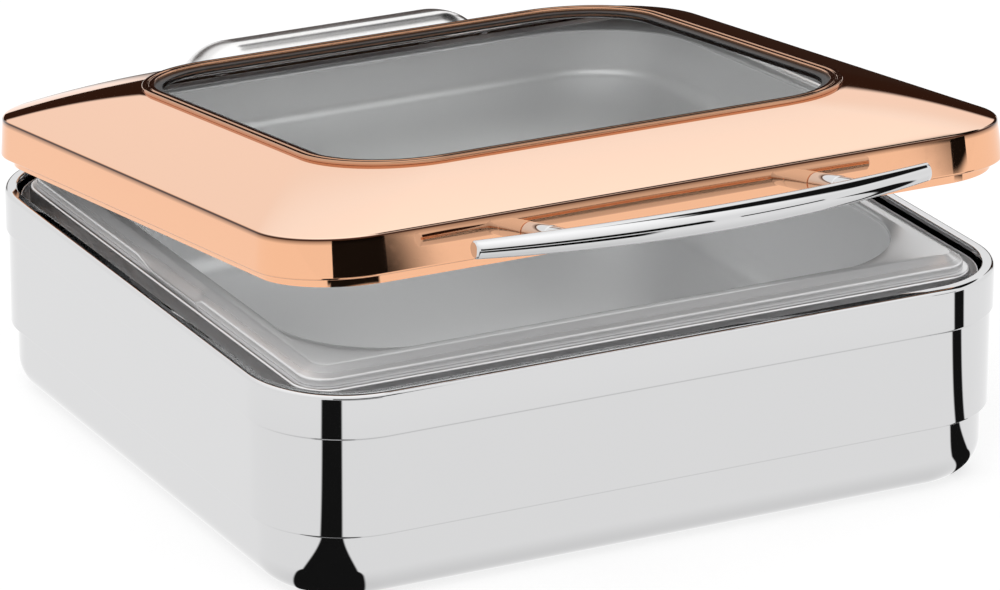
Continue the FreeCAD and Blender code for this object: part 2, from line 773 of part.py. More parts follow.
def make_bar(label):
    """Bow bar that swells towards its middle, with flat-cut ends."""
    body = new_body(label)
    sketches = []
    for share in (-1, -0.75, -0.4, 0, 0.4, 0.75, 1):
        x = size("handle_length") / 2 * share
        y, radius = bar_centre(x.value)
        sketch = new_sketch(body, "YZ_Plane", x)
        draw_circles(sketch, [(y, size("handle_z"))], 2 * radius)
        sketches.append(sketch)
    doc.recompute()
    feature = body.newObject("PartDesign::AdditiveLoft", label + "_loft")
    feature.Profile = sketches[0]
    feature.Sections = sketches[1:]
    doc.recompute()
    return body


def make_handle():
    keep(make_bar("handle_bar"), on_lid=True)
    bar_tool = make_bar("handle_bar_form")
    skirt_tool = make_lid_form("post_trim_form", as_length(-FIT), band_z)
    posts, screws, places = [], [], []
    outward = AXES["post"].multVec(Vector(0, 0, 1))
    washer_start = -sheet.value - WASHER_HIGH - FIT
    for side in (-1, 1):
        foot = post_foot(side * size("post_spacing").value / 2)
        bar_y, _ = bar_centre(foot.x)
        length = (bar_y - foot.y) / outward.y
        name = "post_left" if side < 0 else "post_right"
        blank = rod(name + "_blank", tuple(foot - 2 * outward), "post", POST_DIAMETER, length + 2)
        hole = rod(name + "_hole", tuple(foot - 2 * outward), "post", BOLT + THREAD_GAP, POST_THREAD + 2)
        shaped = cut(name + "_bar_end", cut(name + "_bored", blank, hole), bar_tool)
        posts.append(cut(name, shaped, skirt_tool))
        head = foot + (washer_start - BOLT_HEAD_HIGH) * outward
        screws.append(stepped_rods(f"handle_screw_{name}", tuple(head), "post",
                                   [(0, BOLT_HEAD_HIGH, BOLT_HEAD), (BOLT_HEAD_HIGH, POST_THREAD, BOLT)]))
        places.append(tuple(foot + washer_start * outward))
    keep(group("handle_posts", posts), on_lid=True)
    keep(group("handle_screws", screws), on_lid=True)
    keep(washers("handle_washers", places, "post", WASHER, BOLT_HOLE, WASHER_HIGH), on_lid=True)


# ---------------------------------------------------------------- hinge

PLATE_Y = 185.05                    # the bracket's plate stands against the rim band
PLATE_THICK = 3
PLATE_LOW, PLATE_HIGH, PLATE_HALF = 60, 103, 66
SPRING_BAR = (194, 111)             # Y and Z of the bar that the springs' short legs push against
TAB_PIN, TAB_PIN_DIAMETER = (198, 114.5), 4     # Y and Z of the pin that stops a damper from turning
EAR_IN, EAR_OUT = 46, 50
EAR_RADIUS, EAR_BORE = 9.5, 11
BUSH_OUTER, BUSH_BORE = 10.98, 8.1
SLIDE_FIT = 0.04                    # difference of diameter between a pin and the hole it is pushed into
HUB_IN, HUB_OUT, HUB_DIAMETER = 32, 42, 14
DRIVE_PIN, DRIVE_PIN_X = 3, 37
DAMPER_IN, DAMPER_OUT, DAMPER_DIAMETER = 50.2, 61, 18
ROTOR_DIAMETER = 13
CAP_THICK = 1.4
FLAT = 3                            # the shaft's flat lies this far from its axis
AXIS = (hinge_y, hinge_z)


def hinge_rod(label, start_x, end_x, diameter, y=hinge_y, z=hinge_z):
    """A cylinder along X between two X values, on the hinge axis unless told otherwise."""
    return rod(label, (start_x, y, z), "x", diameter, as_length(end_x) - start_x)


def mirrored_pair(label, make_one):
    """Right and left copies of a piece; make_one(name, side) builds it."""
    return group(label, [make_one(label + "_right", 1), make_one(label + "_left", -1)])


def span(side, near, far):
    """The X range between two distances from the centre line, on one side."""
    return tuple(sorted((side * near, side * far)))


def make_hinge_base_bracket():
    """Plate on the vessel's rear wall with two ears and a bar for the springs to push against."""
    body = new_body("hinge_base_bracket")
    back = PLATE_Y + PLATE_THICK
    web(body, [(PLATE_Y, PLATE_LOW), (back, PLATE_LOW), (back, PLATE_HIGH), (PLATE_Y, PLATE_HIGH)],
        -PLATE_HALF, PLATE_HALF)
    for side in (-1, 1):
        low, high = span(side, EAR_IN, EAR_OUT)
        web(body, [(PLATE_Y + 1, PLATE_LOW + 6), (PLATE_Y + 1, PLATE_HIGH - 1),
                   (hinge_y - 9.4, hinge_z - 1.5), AXIS, (hinge_y + 9.4, hinge_z - 1.5),
                   (back + 4, PLATE_LOW + 6)], low, high)
        sketch = new_sketch(body, "YZ_Plane", low)
        draw_circles(sketch, [AXIS], 2 * EAR_RADIUS)
        extrude(body, "Pad", sketch, high - low)
    sketch = new_sketch(body, "YZ_Plane", -EAR_IN - 1)
    draw_circles(sketch, [SPRING_BAR], 4)
    extrude(body, "Pad", sketch, 2 * EAR_IN + 2)
    drill(body, "YZ_Plane", [AXIS], EAR_BORE, EAR_OUT + 1, 2 * EAR_OUT + 2)
    for start in (EAR_OUT + 1, -EAR_IN + 1):
        drill(body, "YZ_Plane", [TAB_PIN], TAB_PIN_DIAMETER + SLIDE_FIT, start, 6)
    drill(body, "XZ_Plane", BRACKET_BOLTS, BOLT_HOLE, PLATE_Y - 1, 6)
    return keep(body)


def make_bracket_fixings():
    """Seal pad, screws, washers and nuts of the base bracket."""
    pad_low, pad_high = 60.5, 81
    wall = base_depth.value / 2 - size("upper_step_inset").value
    pad = box("seal_pad_blank", (-PLATE_HALF, wall + FIT, pad_low), (PLATE_HALF, PLATE_Y - FIT, pad_high))
    holes = [rod(f"seal_hole_{k}", (x, wall - 1, z), "y", BOLT_HOLE, 4)
             for k, (x, z) in enumerate(BRACKET_BOLTS) if z < pad_high]
    keep(cut("hinge_seal_pad", pad, group("seal_holes", holes)))
    screws, washer_places, nut_places = [], [], []
    for k, (x, z) in enumerate(BRACKET_BOLTS):
        inner = (base_depth if z > size("upper_step_z").value else base_depth - 2 * size("upper_step_inset"))
        inner = inner.value / 2 - sheet.value - FIT
        head = PLATE_Y + PLATE_THICK + BOLT_HEAD_HIGH + FIT
        nut_y = inner - WASHER_HIGH - BOLT_NUT_HIGH
        steps = [(0, BOLT_HEAD_HIGH, BOLT_HEAD), (BOLT_HEAD_HIGH, head - nut_y + 0.6, BOLT)]
        screws.append(stepped_rods(f"bracket_screw_{k}", (x, head, z), "-y", steps))
        washer_places.append((x, inner - WASHER_HIGH, z))
        nut_places.append((x, nut_y - FIT, z))
    keep(group("hinge_mounting_screws", screws))
    keep(washers("hinge_mounting_washers", washer_places, "y", WASHER, BOLT_HOLE, WASHER_HIGH))
    keep(nuts("hinge_mounting_nuts", nut_places, "y", BOLT_FLATS, BOLT + THREAD_GAP, BOLT_NUT_HIGH))


def make_hinge_bushes():
    """Flanged bushes in the bracket's ears."""

    def one(name, side):
        low, high = span(side, EAR_IN - 1.2, EAR_OUT)
        flange_low, flange_high = span(side, EAR_IN - 1.2, EAR_IN - 0.2)
        tube = hinge_rod(name + "_tube", low, high, BUSH_OUTER)
        flange = hinge_rod(name + "_flange", flange_low, flange_high, 14)
        bore = hinge_rod(name + "_bore", low - 1, high + 1, BUSH_BORE)
        return cut(name, fuse(name + "_solid", [tube, flange]), bore)

    return keep(mirrored_pair("hinge_bushes", one))


def flat_tool(name, side, clearance):
    """A block that trims one end of a round shaft to a D section."""
    low, high = span(side, DAMPER_IN + 2, DAMPER_OUT + 5)
    return box(name, (low, hinge_y - 8, hinge_z + FLAT + clearance), (high, hinge_y + 8, hinge_z + 8))


def make_hinge_shaft():
    """Shaft that turns with the lid, cross-drilled for its drive pins and flatted at both ends."""
    end = DAMPER_OUT - 0.6
    bar = hinge_rod("hinge_shaft_bar", -end, end, size("shaft_diameter"))
    tools = [flat_tool(f"shaft_flat_{side}", side, 0.0) for side in (-1, 1)]
    tools += [rod(f"shaft_pin_hole_{side}", (side * DRIVE_PIN_X, hinge_y, hinge_z - 10), "z",
                  DRIVE_PIN + SLIDE_FIT, 20) for side in (-1, 1)]
    return keep(cut("hinge_shaft", bar, fuse("hinge_shaft_tools", tools)), on_lid=True)


def make_drive_pins():
    long = 13
    pins = [rod(f"drive_pin_{side}", (side * DRIVE_PIN_X, hinge_y, hinge_z - long / 2), "z", DRIVE_PIN, long)
            for side in (-1, 1)]
    return keep(group("shaft_drive_pins", pins), on_lid=True)


def make_dampers():
    """Two rotary dampers: bodies held by the ears, rotors turned by the shaft, end caps."""

    def case(name, side):
        low, high = span(side, DAMPER_IN, DAMPER_OUT)
        tab_low, tab_high = span(side, DAMPER_IN, DAMPER_IN + 2)
        pin_low, pin_high = span(side, EAR_IN + 1, DAMPER_IN + 1)
        bore_low, bore_high = span(side, DAMPER_IN + 2, DAMPER_OUT + 1)
        drum = hinge_rod(name + "_drum", low, high, DAMPER_DIAMETER)
        pin_y, pin_z = TAB_PIN
        tab = box(name + "_tab", (tab_low, pin_y - 2.5, pin_z - 2.5), (tab_high, pin_y + 2.5, pin_z + 7.5))
        pin = hinge_rod(name + "_pin", pin_low, pin_high, TAB_PIN_DIAMETER, *TAB_PIN)
        bore = hinge_rod(name + "_bore", bore_low, bore_high, ROTOR_DIAMETER + 0.1)
        hole = hinge_rod(name + "_hole", low - 1, high + 1, BUSH_BORE)
        return cut(name, fuse(name + "_solid", [drum, tab, pin]), fuse(name + "_hollow", [bore, hole]))

    def rotor(name, side):
        low, high = span(side, DAMPER_IN + 2.3, DAMPER_OUT - 0.3)
        drum = hinge_rod(name + "_drum", low, high, ROTOR_DIAMETER)
        bore = hinge_rod(name + "_bore", low - 1, high + 1, size("shaft_diameter") + SLIDE_FIT)
        return cut(name, drum, cut(name + "_socket", bore, flat_tool(name + "_flat", side, 0.02)))

    def cap(name, side):
        low, high = span(side, DAMPER_OUT + FIT, DAMPER_OUT + CAP_THICK)
        return hinge_rod(name, low, high, DAMPER_DIAMETER)

    keep(mirrored_pair("damper_bodies", case))
    keep(mirrored_pair("damper_rotors", rotor), on_lid=True)
    keep(mirrored_pair("damper_caps", cap))


COIL_RADIUS, SPRING_WIRE, SPRING_TURNS, SPRING_PITCH = 6.5, 2.0, 7, 2.6
SPRING_INNER = 9.0                  # the coil starts this far from the centre line
LEG_DIRECTION = Vector(0, -12, -7.5)


def make_spring(label, side):
    """Torsion spring round the shaft: a short leg over the bracket's bar, a long one under the lid's arm."""
    long = SPRING_PITCH * SPRING_TURNS
    low_x = side * SPRING_INNER - (long if side < 0 else 0)
    helix = Part.makeHelix(SPRING_PITCH, long, COIL_RADIUS)
    helix.Placement = Placement(Vector(low_x, hinge_y.value, hinge_z.value), AXES["x"])
    path = Part.Wire(helix.Edges)
    first = path.OrderedEdges[0]
    start, end = first.valueAt(first.FirstParameter), path.OrderedEdges[-1]
    end = end.valueAt(end.LastParameter)
    profile = Part.Wire(Part.makeCircle(SPRING_WIRE / 2, start, first.tangentAt(first.FirstParameter)))
    coil = path.makePipeShell([profile], True, True)
    near, far = sorted((start, end), key=lambda point: abs(point.x))
    legs = [Part.makeCylinder(SPRING_WIRE / 2, reach, point, LEG_DIRECTION)
            for point, reach in ((far, 13), (near, 16.5))]
    feature = doc.addObject("Part::Feature", label)
    feature.Shape = coil.multiFuse(legs)
    return keep(feature)


ARM_FRONT, ARM_REAR, ARM_LOW, ARM_HIGH, ARM_HALF = 186, 191.5, 115.6, 132.6, 44


def make_lid_hinge_arm():
    """Bracket on the lid's rear skirt, with two hubs pinned to the shaft."""
    body = new_body("lid_hinge_arm_blank")
    web(body, [(ARM_FRONT, ARM_LOW), (ARM_REAR, ARM_LOW), (ARM_REAR, ARM_HIGH), (ARM_FRONT, ARM_HIGH)],
        -ARM_HALF, ARM_HALF)
    for side in (-1, 1):
        low, high = span(side, HUB_IN + 1, HUB_OUT - 1)
        web(body, [(ARM_REAR - 1.5, ARM_LOW + 1.4), (ARM_REAR - 1.5, ARM_HIGH - 0.6),
                   (hinge_y, hinge_z + 6.5), (hinge_y, hinge_z - 6.5)], low, high)
        low, high = span(side, HUB_IN, HUB_OUT)
        sketch = new_sketch(body, "YZ_Plane", low)
        draw_circles(sketch, [AXIS], HUB_DIAMETER)
        extrude(body, "Pad", sketch, high - low)
        drill(body, "XY_Plane", [(side * DRIVE_PIN_X, hinge_y)], DRIVE_PIN + SLIDE_FIT, hinge_z + 10, 20)
    drill(body, "YZ_Plane", [AXIS], size("shaft_diameter") + SLIDE_FIT, ARM_HALF + 1, 2 * ARM_HALF + 2)
    drill(body, "XZ_Plane", ARM_BOLTS, BOLT_HOLE, ARM_FRONT - 2, 10)
    trim = make_lid_form("arm_trim_form", as_length(-FIT), band_z)
    return keep(cut("lid_hinge_arm", body, trim), on_lid=True)


def make_arm_fixings():
    """Screws, washers and nuts that hold the arm to the lid's skirt."""
    screws, washer_places, nut_places = [], [], []
    for k, (x, z) in enumerate(ARM_BOLTS):
        screws.append(stepped_rods(f"arm_screw_{k}", (x, ARM_REAR + FIT + BOLT_HEAD_HIGH, z), "-y",
                                   [(0, BOLT_HEAD_HIGH, BOLT_HEAD), (BOLT_HEAD_HIGH, 13.6, BOLT)]))
        washer_places.append((x, 185.2, z))
        nut_places.append((x, 181.1, z))
    keep(group("lid_arm_screws", screws), on_lid=True)
    keep(washers("lid_arm_washers", washer_places, "y", WASHER, BOLT_HOLE, WASHER_HIGH), on_lid=True)
    keep(nuts("lid_arm_nuts", nut_places, "y", BOLT_FLATS, BOLT + THREAD_GAP, BOLT_NUT_HIGH), on_lid=True)


COVER_STRAIGHT, COVER_END = 56, 28  # half length of the straight part, and length of each rounded end
COVER_REAR, COVER_FRONT, COVER_RISE = 50, 14, 30.6
COVER_MIDDLE = (170, 120.4)         # Y and Z of the cover's centre line, lid shut
COVER_LOW = 124                     # height of its lower edge
COVER_SHEET = 1.2


def quarter_barrel(reach, rise, straight, end):
    """Upper quarter of an elliptic cylinder along X with ellipsoid ends, on the +Y side."""
    stretch = FreeCAD.Matrix()
    stretch.scale(Vector(end, reach, rise))
    tip = Part.makeSphere(1.0, Vector(), Vector(0, 0, 1), 0, 90, 90).transformGeometry(stretch)
    tip.translate(Vector(straight, 0, 0))
    section = Part.makeCylinder(1.0, 2 * straight, Vector(), Vector(0, 0, 1), 90)
    lay_down = FreeCAD.Matrix(0, 0, 1, -straight, reach, 0, 0, 0, 0, rise, 0, 0, 0, 0, 0, 1)
    tube = section.transformGeometry(lay_down)
    return tube.multiFuse([tip, tip.mirror(Vector(), Vector(1, 0, 0))])


def cover_block(skin):
    """Solid form of the hinge cover, skin inside its outer surface."""
    rise, end = COVER_RISE - skin, COVER_END - skin
    rear = quarter_barrel(COVER_REAR - skin, rise, COVER_STRAIGHT, end)
    front = quarter_barrel(COVER_FRONT - skin, rise, COVER_STRAIGHT, end)
    solid = rear.fuse(front.mirror(Vector(), Vector(0, 1, 0)))
    solid.translate(Vector(0, *COVER_MIDDLE))
    return solid


def make_hinge_cover():
    """Long cover over the hinge: shell, two screw bosses, and slots for the bracket's ears."""
    shell = cover_block(0.0)
    cavity = cover_block(COVER_SHEET)
    bosses = [Part.makeCylinder(4, 16, Vector(x, y, 134)) for x, y in COVER_SCREWS]
    bosses = [boss.common(shell) for boss in bosses]
    solid = shell.cut(cavity).multiFuse(bosses)
    holes = [Part.makeCylinder(2.03, 15, Vector(x, y, 133)) for x, y in COVER_SCREWS]
    below = Part.makeBox(400, 400, 200, Vector(-200, 0, COVER_LOW - 200))
    slots = []
    for side in (-1, 1):
        low, high = span(side, EAR_IN - 1, DAMPER_IN + 3)
        slots.append(Part.makeBox(high - low, 40, 12.5, Vector(low, 190, COVER_LOW - 1)))
    form = make_lid_form("cover_trim_form", as_length(-FIT), band_z)
    add_boss(form, FIT)
    feature = doc.addObject("Part::Feature", "hinge_cover")
    feature.Shape = solid.cut([below, form.Shape] + holes + slots)
    return keep(feature, on_lid=True)


def make_cover_screws():
    """Screws up through the lid's slope into the cover's bosses."""
    screws, places = [], []
    for k, (x, y) in enumerate(COVER_SCREWS):
        screws.append(stepped_rods(f"cover_screw_{k}", (x, y, 133.6), "z", [(0, 2.4, 7), (2.4, 13.4, 4)]))
        places.append((x, y, 136.05))
    keep(group("cover_screws", screws), on_lid=True)
    keep(washers("cover_washers", places, "z", 9, 4.3, 0.8), on_lid=True)


# ---------------------------------------------------------------- build and write

make_base_shell()
make_induction_plate()
make_frame_rest_brackets()
make_pan_frame()
make_food_pan()
make_lid_shell()
make_window_bezel()
make_window_glass()
make_window_gasket()
make_window_clamp_frame()
make_window_fixings()
make_lid_rest_bumpers()
make_handle()
make_hinge_base_bracket()
make_bracket_fixings()
make_hinge_bushes()
make_hinge_shaft()
make_drive_pins()
make_dampers()
make_spring("spring_left", -1)
make_spring("spring_right", 1)
make_lid_hinge_arm()
make_arm_fixings()
make_hinge_cover()
make_cover_screws()
doc.recompute()

failed = [o.Name for o in doc.Objects if {"Invalid", "Error"} & set(o.State)]
if failed:
    raise RuntimeError("failed objects: " + ", ".join(failed))
for name, node in nodes.items():
    if node.Shape.isNull() or not node.Shape.isValid() or not node.Shape.Solids:
        raise RuntimeError("bad shape: " + name)

os.makedirs("parts", exist_ok=True)
for name, node in nodes.items():
    node.Shape.exportStep(f"parts/{name}.step")
    print(f"{name}: {len(node.Shape.Solids)} solid(s), {node.Shape.Volume:.0f} mm3")
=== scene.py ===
"""Hinged-lid chafing dish: sheet-metal shells, materials, a studio and a camera round the CAD frame.

Sizes are in metres. Lid pieces are built with the lid shut, then turned to the rest pose about the hinge.
The camera sees a plain pale studio. Mirror rays see the same studio with dark openings in it.
"""
import json
import math
import bpy
from mathutils import Matrix, Vector


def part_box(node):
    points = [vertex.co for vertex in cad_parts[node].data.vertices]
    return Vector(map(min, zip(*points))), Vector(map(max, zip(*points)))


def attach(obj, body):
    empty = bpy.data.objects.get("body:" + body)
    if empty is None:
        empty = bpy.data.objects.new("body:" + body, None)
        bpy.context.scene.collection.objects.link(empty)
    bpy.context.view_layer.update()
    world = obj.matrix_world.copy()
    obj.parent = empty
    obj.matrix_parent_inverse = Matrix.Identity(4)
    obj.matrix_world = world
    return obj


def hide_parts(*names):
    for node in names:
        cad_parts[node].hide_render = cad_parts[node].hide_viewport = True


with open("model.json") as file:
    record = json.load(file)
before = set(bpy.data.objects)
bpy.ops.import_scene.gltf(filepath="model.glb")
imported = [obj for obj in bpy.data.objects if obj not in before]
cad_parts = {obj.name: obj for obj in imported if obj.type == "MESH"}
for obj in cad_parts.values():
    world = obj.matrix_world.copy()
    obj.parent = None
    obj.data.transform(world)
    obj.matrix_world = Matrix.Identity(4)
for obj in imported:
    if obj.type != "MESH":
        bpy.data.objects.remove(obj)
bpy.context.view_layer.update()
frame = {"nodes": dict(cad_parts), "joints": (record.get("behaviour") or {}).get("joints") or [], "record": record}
MM = 0.001
SHEET = 1.0 * MM

# ---------------------------------------------------------------- places from the frame

lid_joint = next(j for j in frame["joints"] if j["child"] == "lid")
hinge_point = Vector(lid_joint["pos_m"])
LID_POSE = (Matrix.Translation(hinge_point)
            @ Matrix.Rotation(math.radians(lid_joint["range_deg"][0]), 4, "X")
            @ Matrix.Translation(-hinge_point))


def shut_box(node):
    """Lowest and highest corner of a lid node, with the lid shut."""
    shut = LID_POSE.inverted()
    points = [shut @ v.co for v in frame["nodes"][node].data.vertices]
    return tuple(Vector([pick(p[axis] for p in points) for axis in range(3)]) for pick in (min, max))


vessel_low, vessel_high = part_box("base_shell")
pan_low, pan_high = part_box("food_pan")
frame_low, frame_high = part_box("pan_frame")
plate_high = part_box("induction_plate")[1]
lid_low, lid_high = shut_box("lid_shell")
bezel_low, bezel_high = shut_box("window_bezel")
bar_low, bar_high = shut_box("handle_bar")
post_high = shut_box("handle_posts")[1]

# ---------------------------------------------------------------- mesh tools


def inset(outline, by):
    """A rounded rectangle (width, depth, corner radius) drawn in by a distance."""
    width, depth, corner = outline
    return (width - 2 * by, depth - 2 * by, max(corner - by, 1.5 * MM))


def between(first, second, share):
    """An outline part of the way from one rounded rectangle to another."""
    return tuple(a + (b - a) * share for a, b in zip(first, second))


def outline_points(outline, side_steps, arc_steps):
    """Points round a rounded rectangle, anticlockwise from the +X side's upper end."""
    width, depth, corner = outline
    arcs = []
    for quarter, (sx, sy) in enumerate(((1, 1), (-1, 1), (-1, -1), (1, -1))):
        centre = Vector((sx * (width / 2 - corner), sy * (depth / 2 - corner)))
        turns = [math.pi / 2 * (quarter + step / arc_steps) for step in range(arc_steps + 1)]
        arcs.append([centre + corner * Vector((math.cos(t), math.sin(t))) for t in turns])
    points = []
    for arc, following in zip(arcs, arcs[1:] + arcs[:1]):
        points += arc
        points += [arc[-1].lerp(following[0], step / side_steps) for step in range(1, side_steps)]
    return points


def rounded_path(corners, closed=False):
    """A cross-section: each corner is (inward distance, height, radius), and its arc has several points."""
    count = len(corners)
    path = []
    for k, (u, z, radius) in enumerate(corners):
        here = Vector((u, z))
        if radius == 0 or (not closed and k in (0, count - 1)):
            path.append((u, z))
            continue
        before = Vector(corners[k - 1][:2]) - here
        after = Vector(corners[(k + 1) % count][:2]) - here
        half = before.angle(after) / 2
        reach = min(radius / math.tan(half), 0.49 * before.length, 0.49 * after.length)
        radius = reach * math.tan(half)
        centre = here + (before.normalized() + after.normalized()).normalized() * radius / math.sin(half)
        start = here + before.normalized() * reach - centre
        turn = start.angle_signed(here + after.normalized() * reach - centre)
        steps = max(3, min(20, int(abs(math.degrees(turn)) / 7)))
        for step in range(steps + 1):
            spoke = start.copy()
            spoke.rotate(Matrix.Rotation(-turn * step / steps, 2))
            path.append(tuple(centre + spoke))
    return path


def make_object(name, vertices, faces, body, material, nodes=(), sharp=38):
    """A smooth-shaded piece with outward faces that rides on a body and stands for CAD nodes."""
    mesh = bpy.data.meshes.new(name)
    mesh.from_pydata([tuple(v) for v in vertices], [], faces)
    piece = bpy.data.objects.new(name, mesh)
    bpy.context.scene.collection.objects.link(piece)
    bpy.context.view_layer.objects.active = piece
    piece.select_set(True)
    bpy.ops.object.mode_set(mode="EDIT")
    bpy.ops.mesh.select_all(action="SELECT")
    bpy.ops.mesh.normals_make_consistent(inside=False)
    bpy.ops.object.mode_set(mode="OBJECT")
    piece.select_set(False)
    mesh.shade_smooth()
    mesh.set_sharp_from_angle(angle=math.radians(sharp))
    mesh.materials.append(material)
    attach(piece, body)
    if nodes:
        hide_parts(*nodes)
    return piece


def bridge(rings, looped):
    """Quads between neighbouring equal rings; a looped set also joins its last ring to its first."""
    size = len(rings[0])
    pairs = list(zip(range(len(rings)), range(1, len(rings))))
    if looped:
        pairs.append((len(rings) - 1, 0))
    return [(a * size + k, a * size + (k + 1) % size, b * size + (k + 1) % size, b * size + k)
            for a, b in pairs for k in range(size)]


def swept_shell(name, path, outline_at, body, material, nodes, looped=True, side_steps=40, arc_steps=24,
                adjust=None):
    """A cross-section carried round a family of rounded rectangles; open ends are closed with a face."""
    rings = []
    for u, z in path:
        ring = [Vector((p.x, p.y, z)) for p in outline_points(outline_at(u), side_steps, arc_steps)]
        rings.append([adjust(point) for point in ring] if adjust else ring)
    faces = bridge(rings, looped)
    size = len(rings[0])
    if not looped:
        faces.append(tuple(range(size)))
        faces.append(tuple(range((len(rings) - 1) * size, len(rings) * size)))
    return make_object(name, [v for ring in rings for v in ring], faces, body, material, nodes)


def smooth_step(value, low, high):
    share = min(max((value - low) / (high - low), 0.0), 1.0)
    return share * share * (3 - 2 * share)


# ---------------------------------------------------------------- material tools

slot_of = {row["node"]: row["material_slot"] for row in frame["record"]["subparts"]}


class Shader:
    """Short calls for building one node tree."""

    def __init__(self, tree):
        self.tree = tree

    def node(self, kind, inputs=None, **settings):
        node = self.tree.nodes.new(kind)
        for key, value in settings.items():
            setattr(node, key, value)
        for key, value in (inputs or {}).items():
            self.feed(node.inputs[key], value)
        return node

    def feed(self, target, value):
        if isinstance(value, bpy.types.NodeSocket):
            self.tree.links.new(value, target)
        elif hasattr(target.default_value, "__len__") and len(target.default_value) == 4 and len(value) == 3:
            target.default_value = (*value, 1.0)
        else:
            target.default_value = value

    def math(self, operation, *values):
        node = self.node("ShaderNodeMath", operation=operation)
        for target, value in zip(node.inputs, values):
            self.feed(target, value)
        return node.outputs[0]

    def noise(self, coordinates, scale, detail=3.0):
        noise = self.node("ShaderNodeTexNoise", {"Vector": coordinates, "Scale": scale, "Detail": detail})
        return noise.outputs["Fac"]

    def remap(self, value, low, high, new_low, new_high, smooth=False):
        node = self.node("ShaderNodeMapRange", {"Value": value, "From Min": low, "From Max": high,
                                                "To Min": new_low, "To Max": new_high})
        if smooth:
            node.interpolation_type = "SMOOTHSTEP"
        return node.outputs["Result"]

    def mix(self, share, first, second):
        node = self.node("ShaderNodeMix", data_type="RGBA")
        self.feed(node.inputs["Factor"], share)
        self.feed(node.inputs[6], first)
        self.feed(node.inputs[7], second)
        return node.outputs[2]

    def window(self, value, low, high, soft):
        """1 between low and high, 0 outside, with soft edges."""
        rise = self.remap(value, low - soft, low + soft, 0, 1, smooth=True)
        fall = self.remap(value, high - soft, high + soft, 1, 0, smooth=True)
        return self.math("MULTIPLY", rise, fall)


def new_material(name):
    material = bpy.data.materials.new(name)
    material.use_nodes = True
    return material, Shader(material.node_tree), material.node_tree.nodes["Principled BSDF"]


def worn_edges(shader, amount):
    """Brightening along raised edges, where handling has polished them."""
    geometry = shader.node("ShaderNodeNewGeometry")
    return shader.remap(geometry.outputs["Pointiness"], 0.52, 0.58, 0.0, amount)


def metal(name, colour, roughness, smudge=0.02, wave=0.03 * MM, wave_scale=14.0, brushed=0.0, grain=(1, 1, 1),
          edge=0.0):
    """Metal with faint pressing waves, finger smudges and, if asked, a brushed grain."""
    material, shader, surface = new_material(name)
    place = shader.node("ShaderNodeTexCoord").outputs["Object"]
    smudges = shader.noise(place, 26.0, 5.0)
    fine = shader.noise(place, 240.0, 2.0)
    tone = shader.remap(smudges, 0.35, 0.7, 0.97, 1.0)
    shade = shader.mix(tone, tuple(0.90 * c for c in colour), colour)
    if edge:
        shade = shader.mix(worn_edges(shader, edge), shade, (0.95, 0.94, 0.92))
    shader.feed(surface.inputs["Base Color"], shade)
    surface.inputs["Metallic"].default_value = 1.0
    rough = shader.remap(smudges, 0.4, 0.75, roughness, roughness + smudge)
    height = shader.noise(place, wave_scale, 1.0)
    bump = shader.node("ShaderNodeBump", {"Height": height, "Distance": wave, "Strength": 1.0})
    if brushed:
        stretched = shader.node("ShaderNodeMapping", {"Vector": place, "Scale": grain}).outputs[0]
        lines = shader.noise(stretched, 900.0, 3.0)
        rough = shader.math("ADD", rough, shader.remap(lines, 0.3, 0.7, 0.0, brushed))
        bump = shader.node("ShaderNodeBump", {"Height": lines, "Distance": 0.004 * MM, "Strength": 0.6,
                                              "Normal": bump.outputs[0]})
    else:
        rough = shader.math("ADD", rough, shader.remap(fine, 0.5, 0.8, 0.0, 0.01))
    shader.feed(surface.inputs["Roughness"], rough)
    shader.feed(surface.inputs["Normal"], bump.outputs[0])
    return material


def moulded(name, colour, roughness, grain_scale=1600.0, translucent=0.0):
    """Rubber or moulded plastic with a fine surface grain and dusty colour variation."""
    material, shader, surface = new_material(name)
    place = shader.node("ShaderNodeTexCoord").outputs["Object"]
    cloud = shader.noise(place, 60.0, 4.0)
    dusty = tuple(min(1.35 * c + 0.01, 1) for c in colour)
    shade = shader.mix(shader.remap(cloud, 0.3, 0.7, 0, 1), colour, dusty)
    shade = shader.mix(worn_edges(shader, 0.35), shade, tuple(min(c + 0.18, 1) for c in colour))
    shader.feed(surface.inputs["Base Color"], shade)
    shader.feed(surface.inputs["Roughness"], shader.remap(cloud, 0.3, 0.7, roughness, roughness + 0.12))
    surface.inputs["Subsurface Weight"].default_value = translucent
    surface.inputs["Subsurface Radius"].default_value = (3 * MM, 3 * MM, 3 * MM)
    grain = shader.noise(place, grain_scale, 2.0)
    bump = shader.node("ShaderNodeBump", {"Height": grain, "Distance": 0.02 * MM, "Strength": 0.5})
    shader.feed(surface.inputs["Normal"], bump.outputs[0])
    return material


def clear_glass(name):
    """Clear pane with light smears; its index is far below real glass, so it mirrors little of the room."""
    material, shader, surface = new_material(name)
    place = shader.node("ShaderNodeTexCoord").outputs["Object"]
    stretched = shader.node("ShaderNodeMapping", {"Vector": place, "Scale": (1.0, 3.0, 1.0)}).outputs[0]
    smears = shader.noise(stretched, 9.0, 5.0)
    surface.inputs["Base Color"].default_value = (0.99, 1.0, 0.995, 1.0)
    surface.inputs["Transmission Weight"].default_value = 1.0
    surface.inputs["IOR"].default_value = PANE_INDEX
    shader.feed(surface.inputs["Roughness"], shader.remap(smears, 0.5, 0.8, 0.0, 0.006))
    return material


PANE_INDEX = 1.08                   # real glass is about 1.5
STEEL = (0.66, 0.66, 0.665)
INNER_SHADE = (0.13, 0.135, 0.14)
WELL_STEEL = (0.83, 0.83, 0.835)
# The pale copper is a painted highlight, mixed in where the copper's mirror direction points up.
COPPER, PAINTED_HIGHLIGHT_COPPER = (0.875, 0.475, 0.285), (0.865, 0.605, 0.463)
# Colour of the painted dark reflection along the lid's crease.
PAINTED_CREASE_REFLECTION = (0.05, 0.016, 0.008)

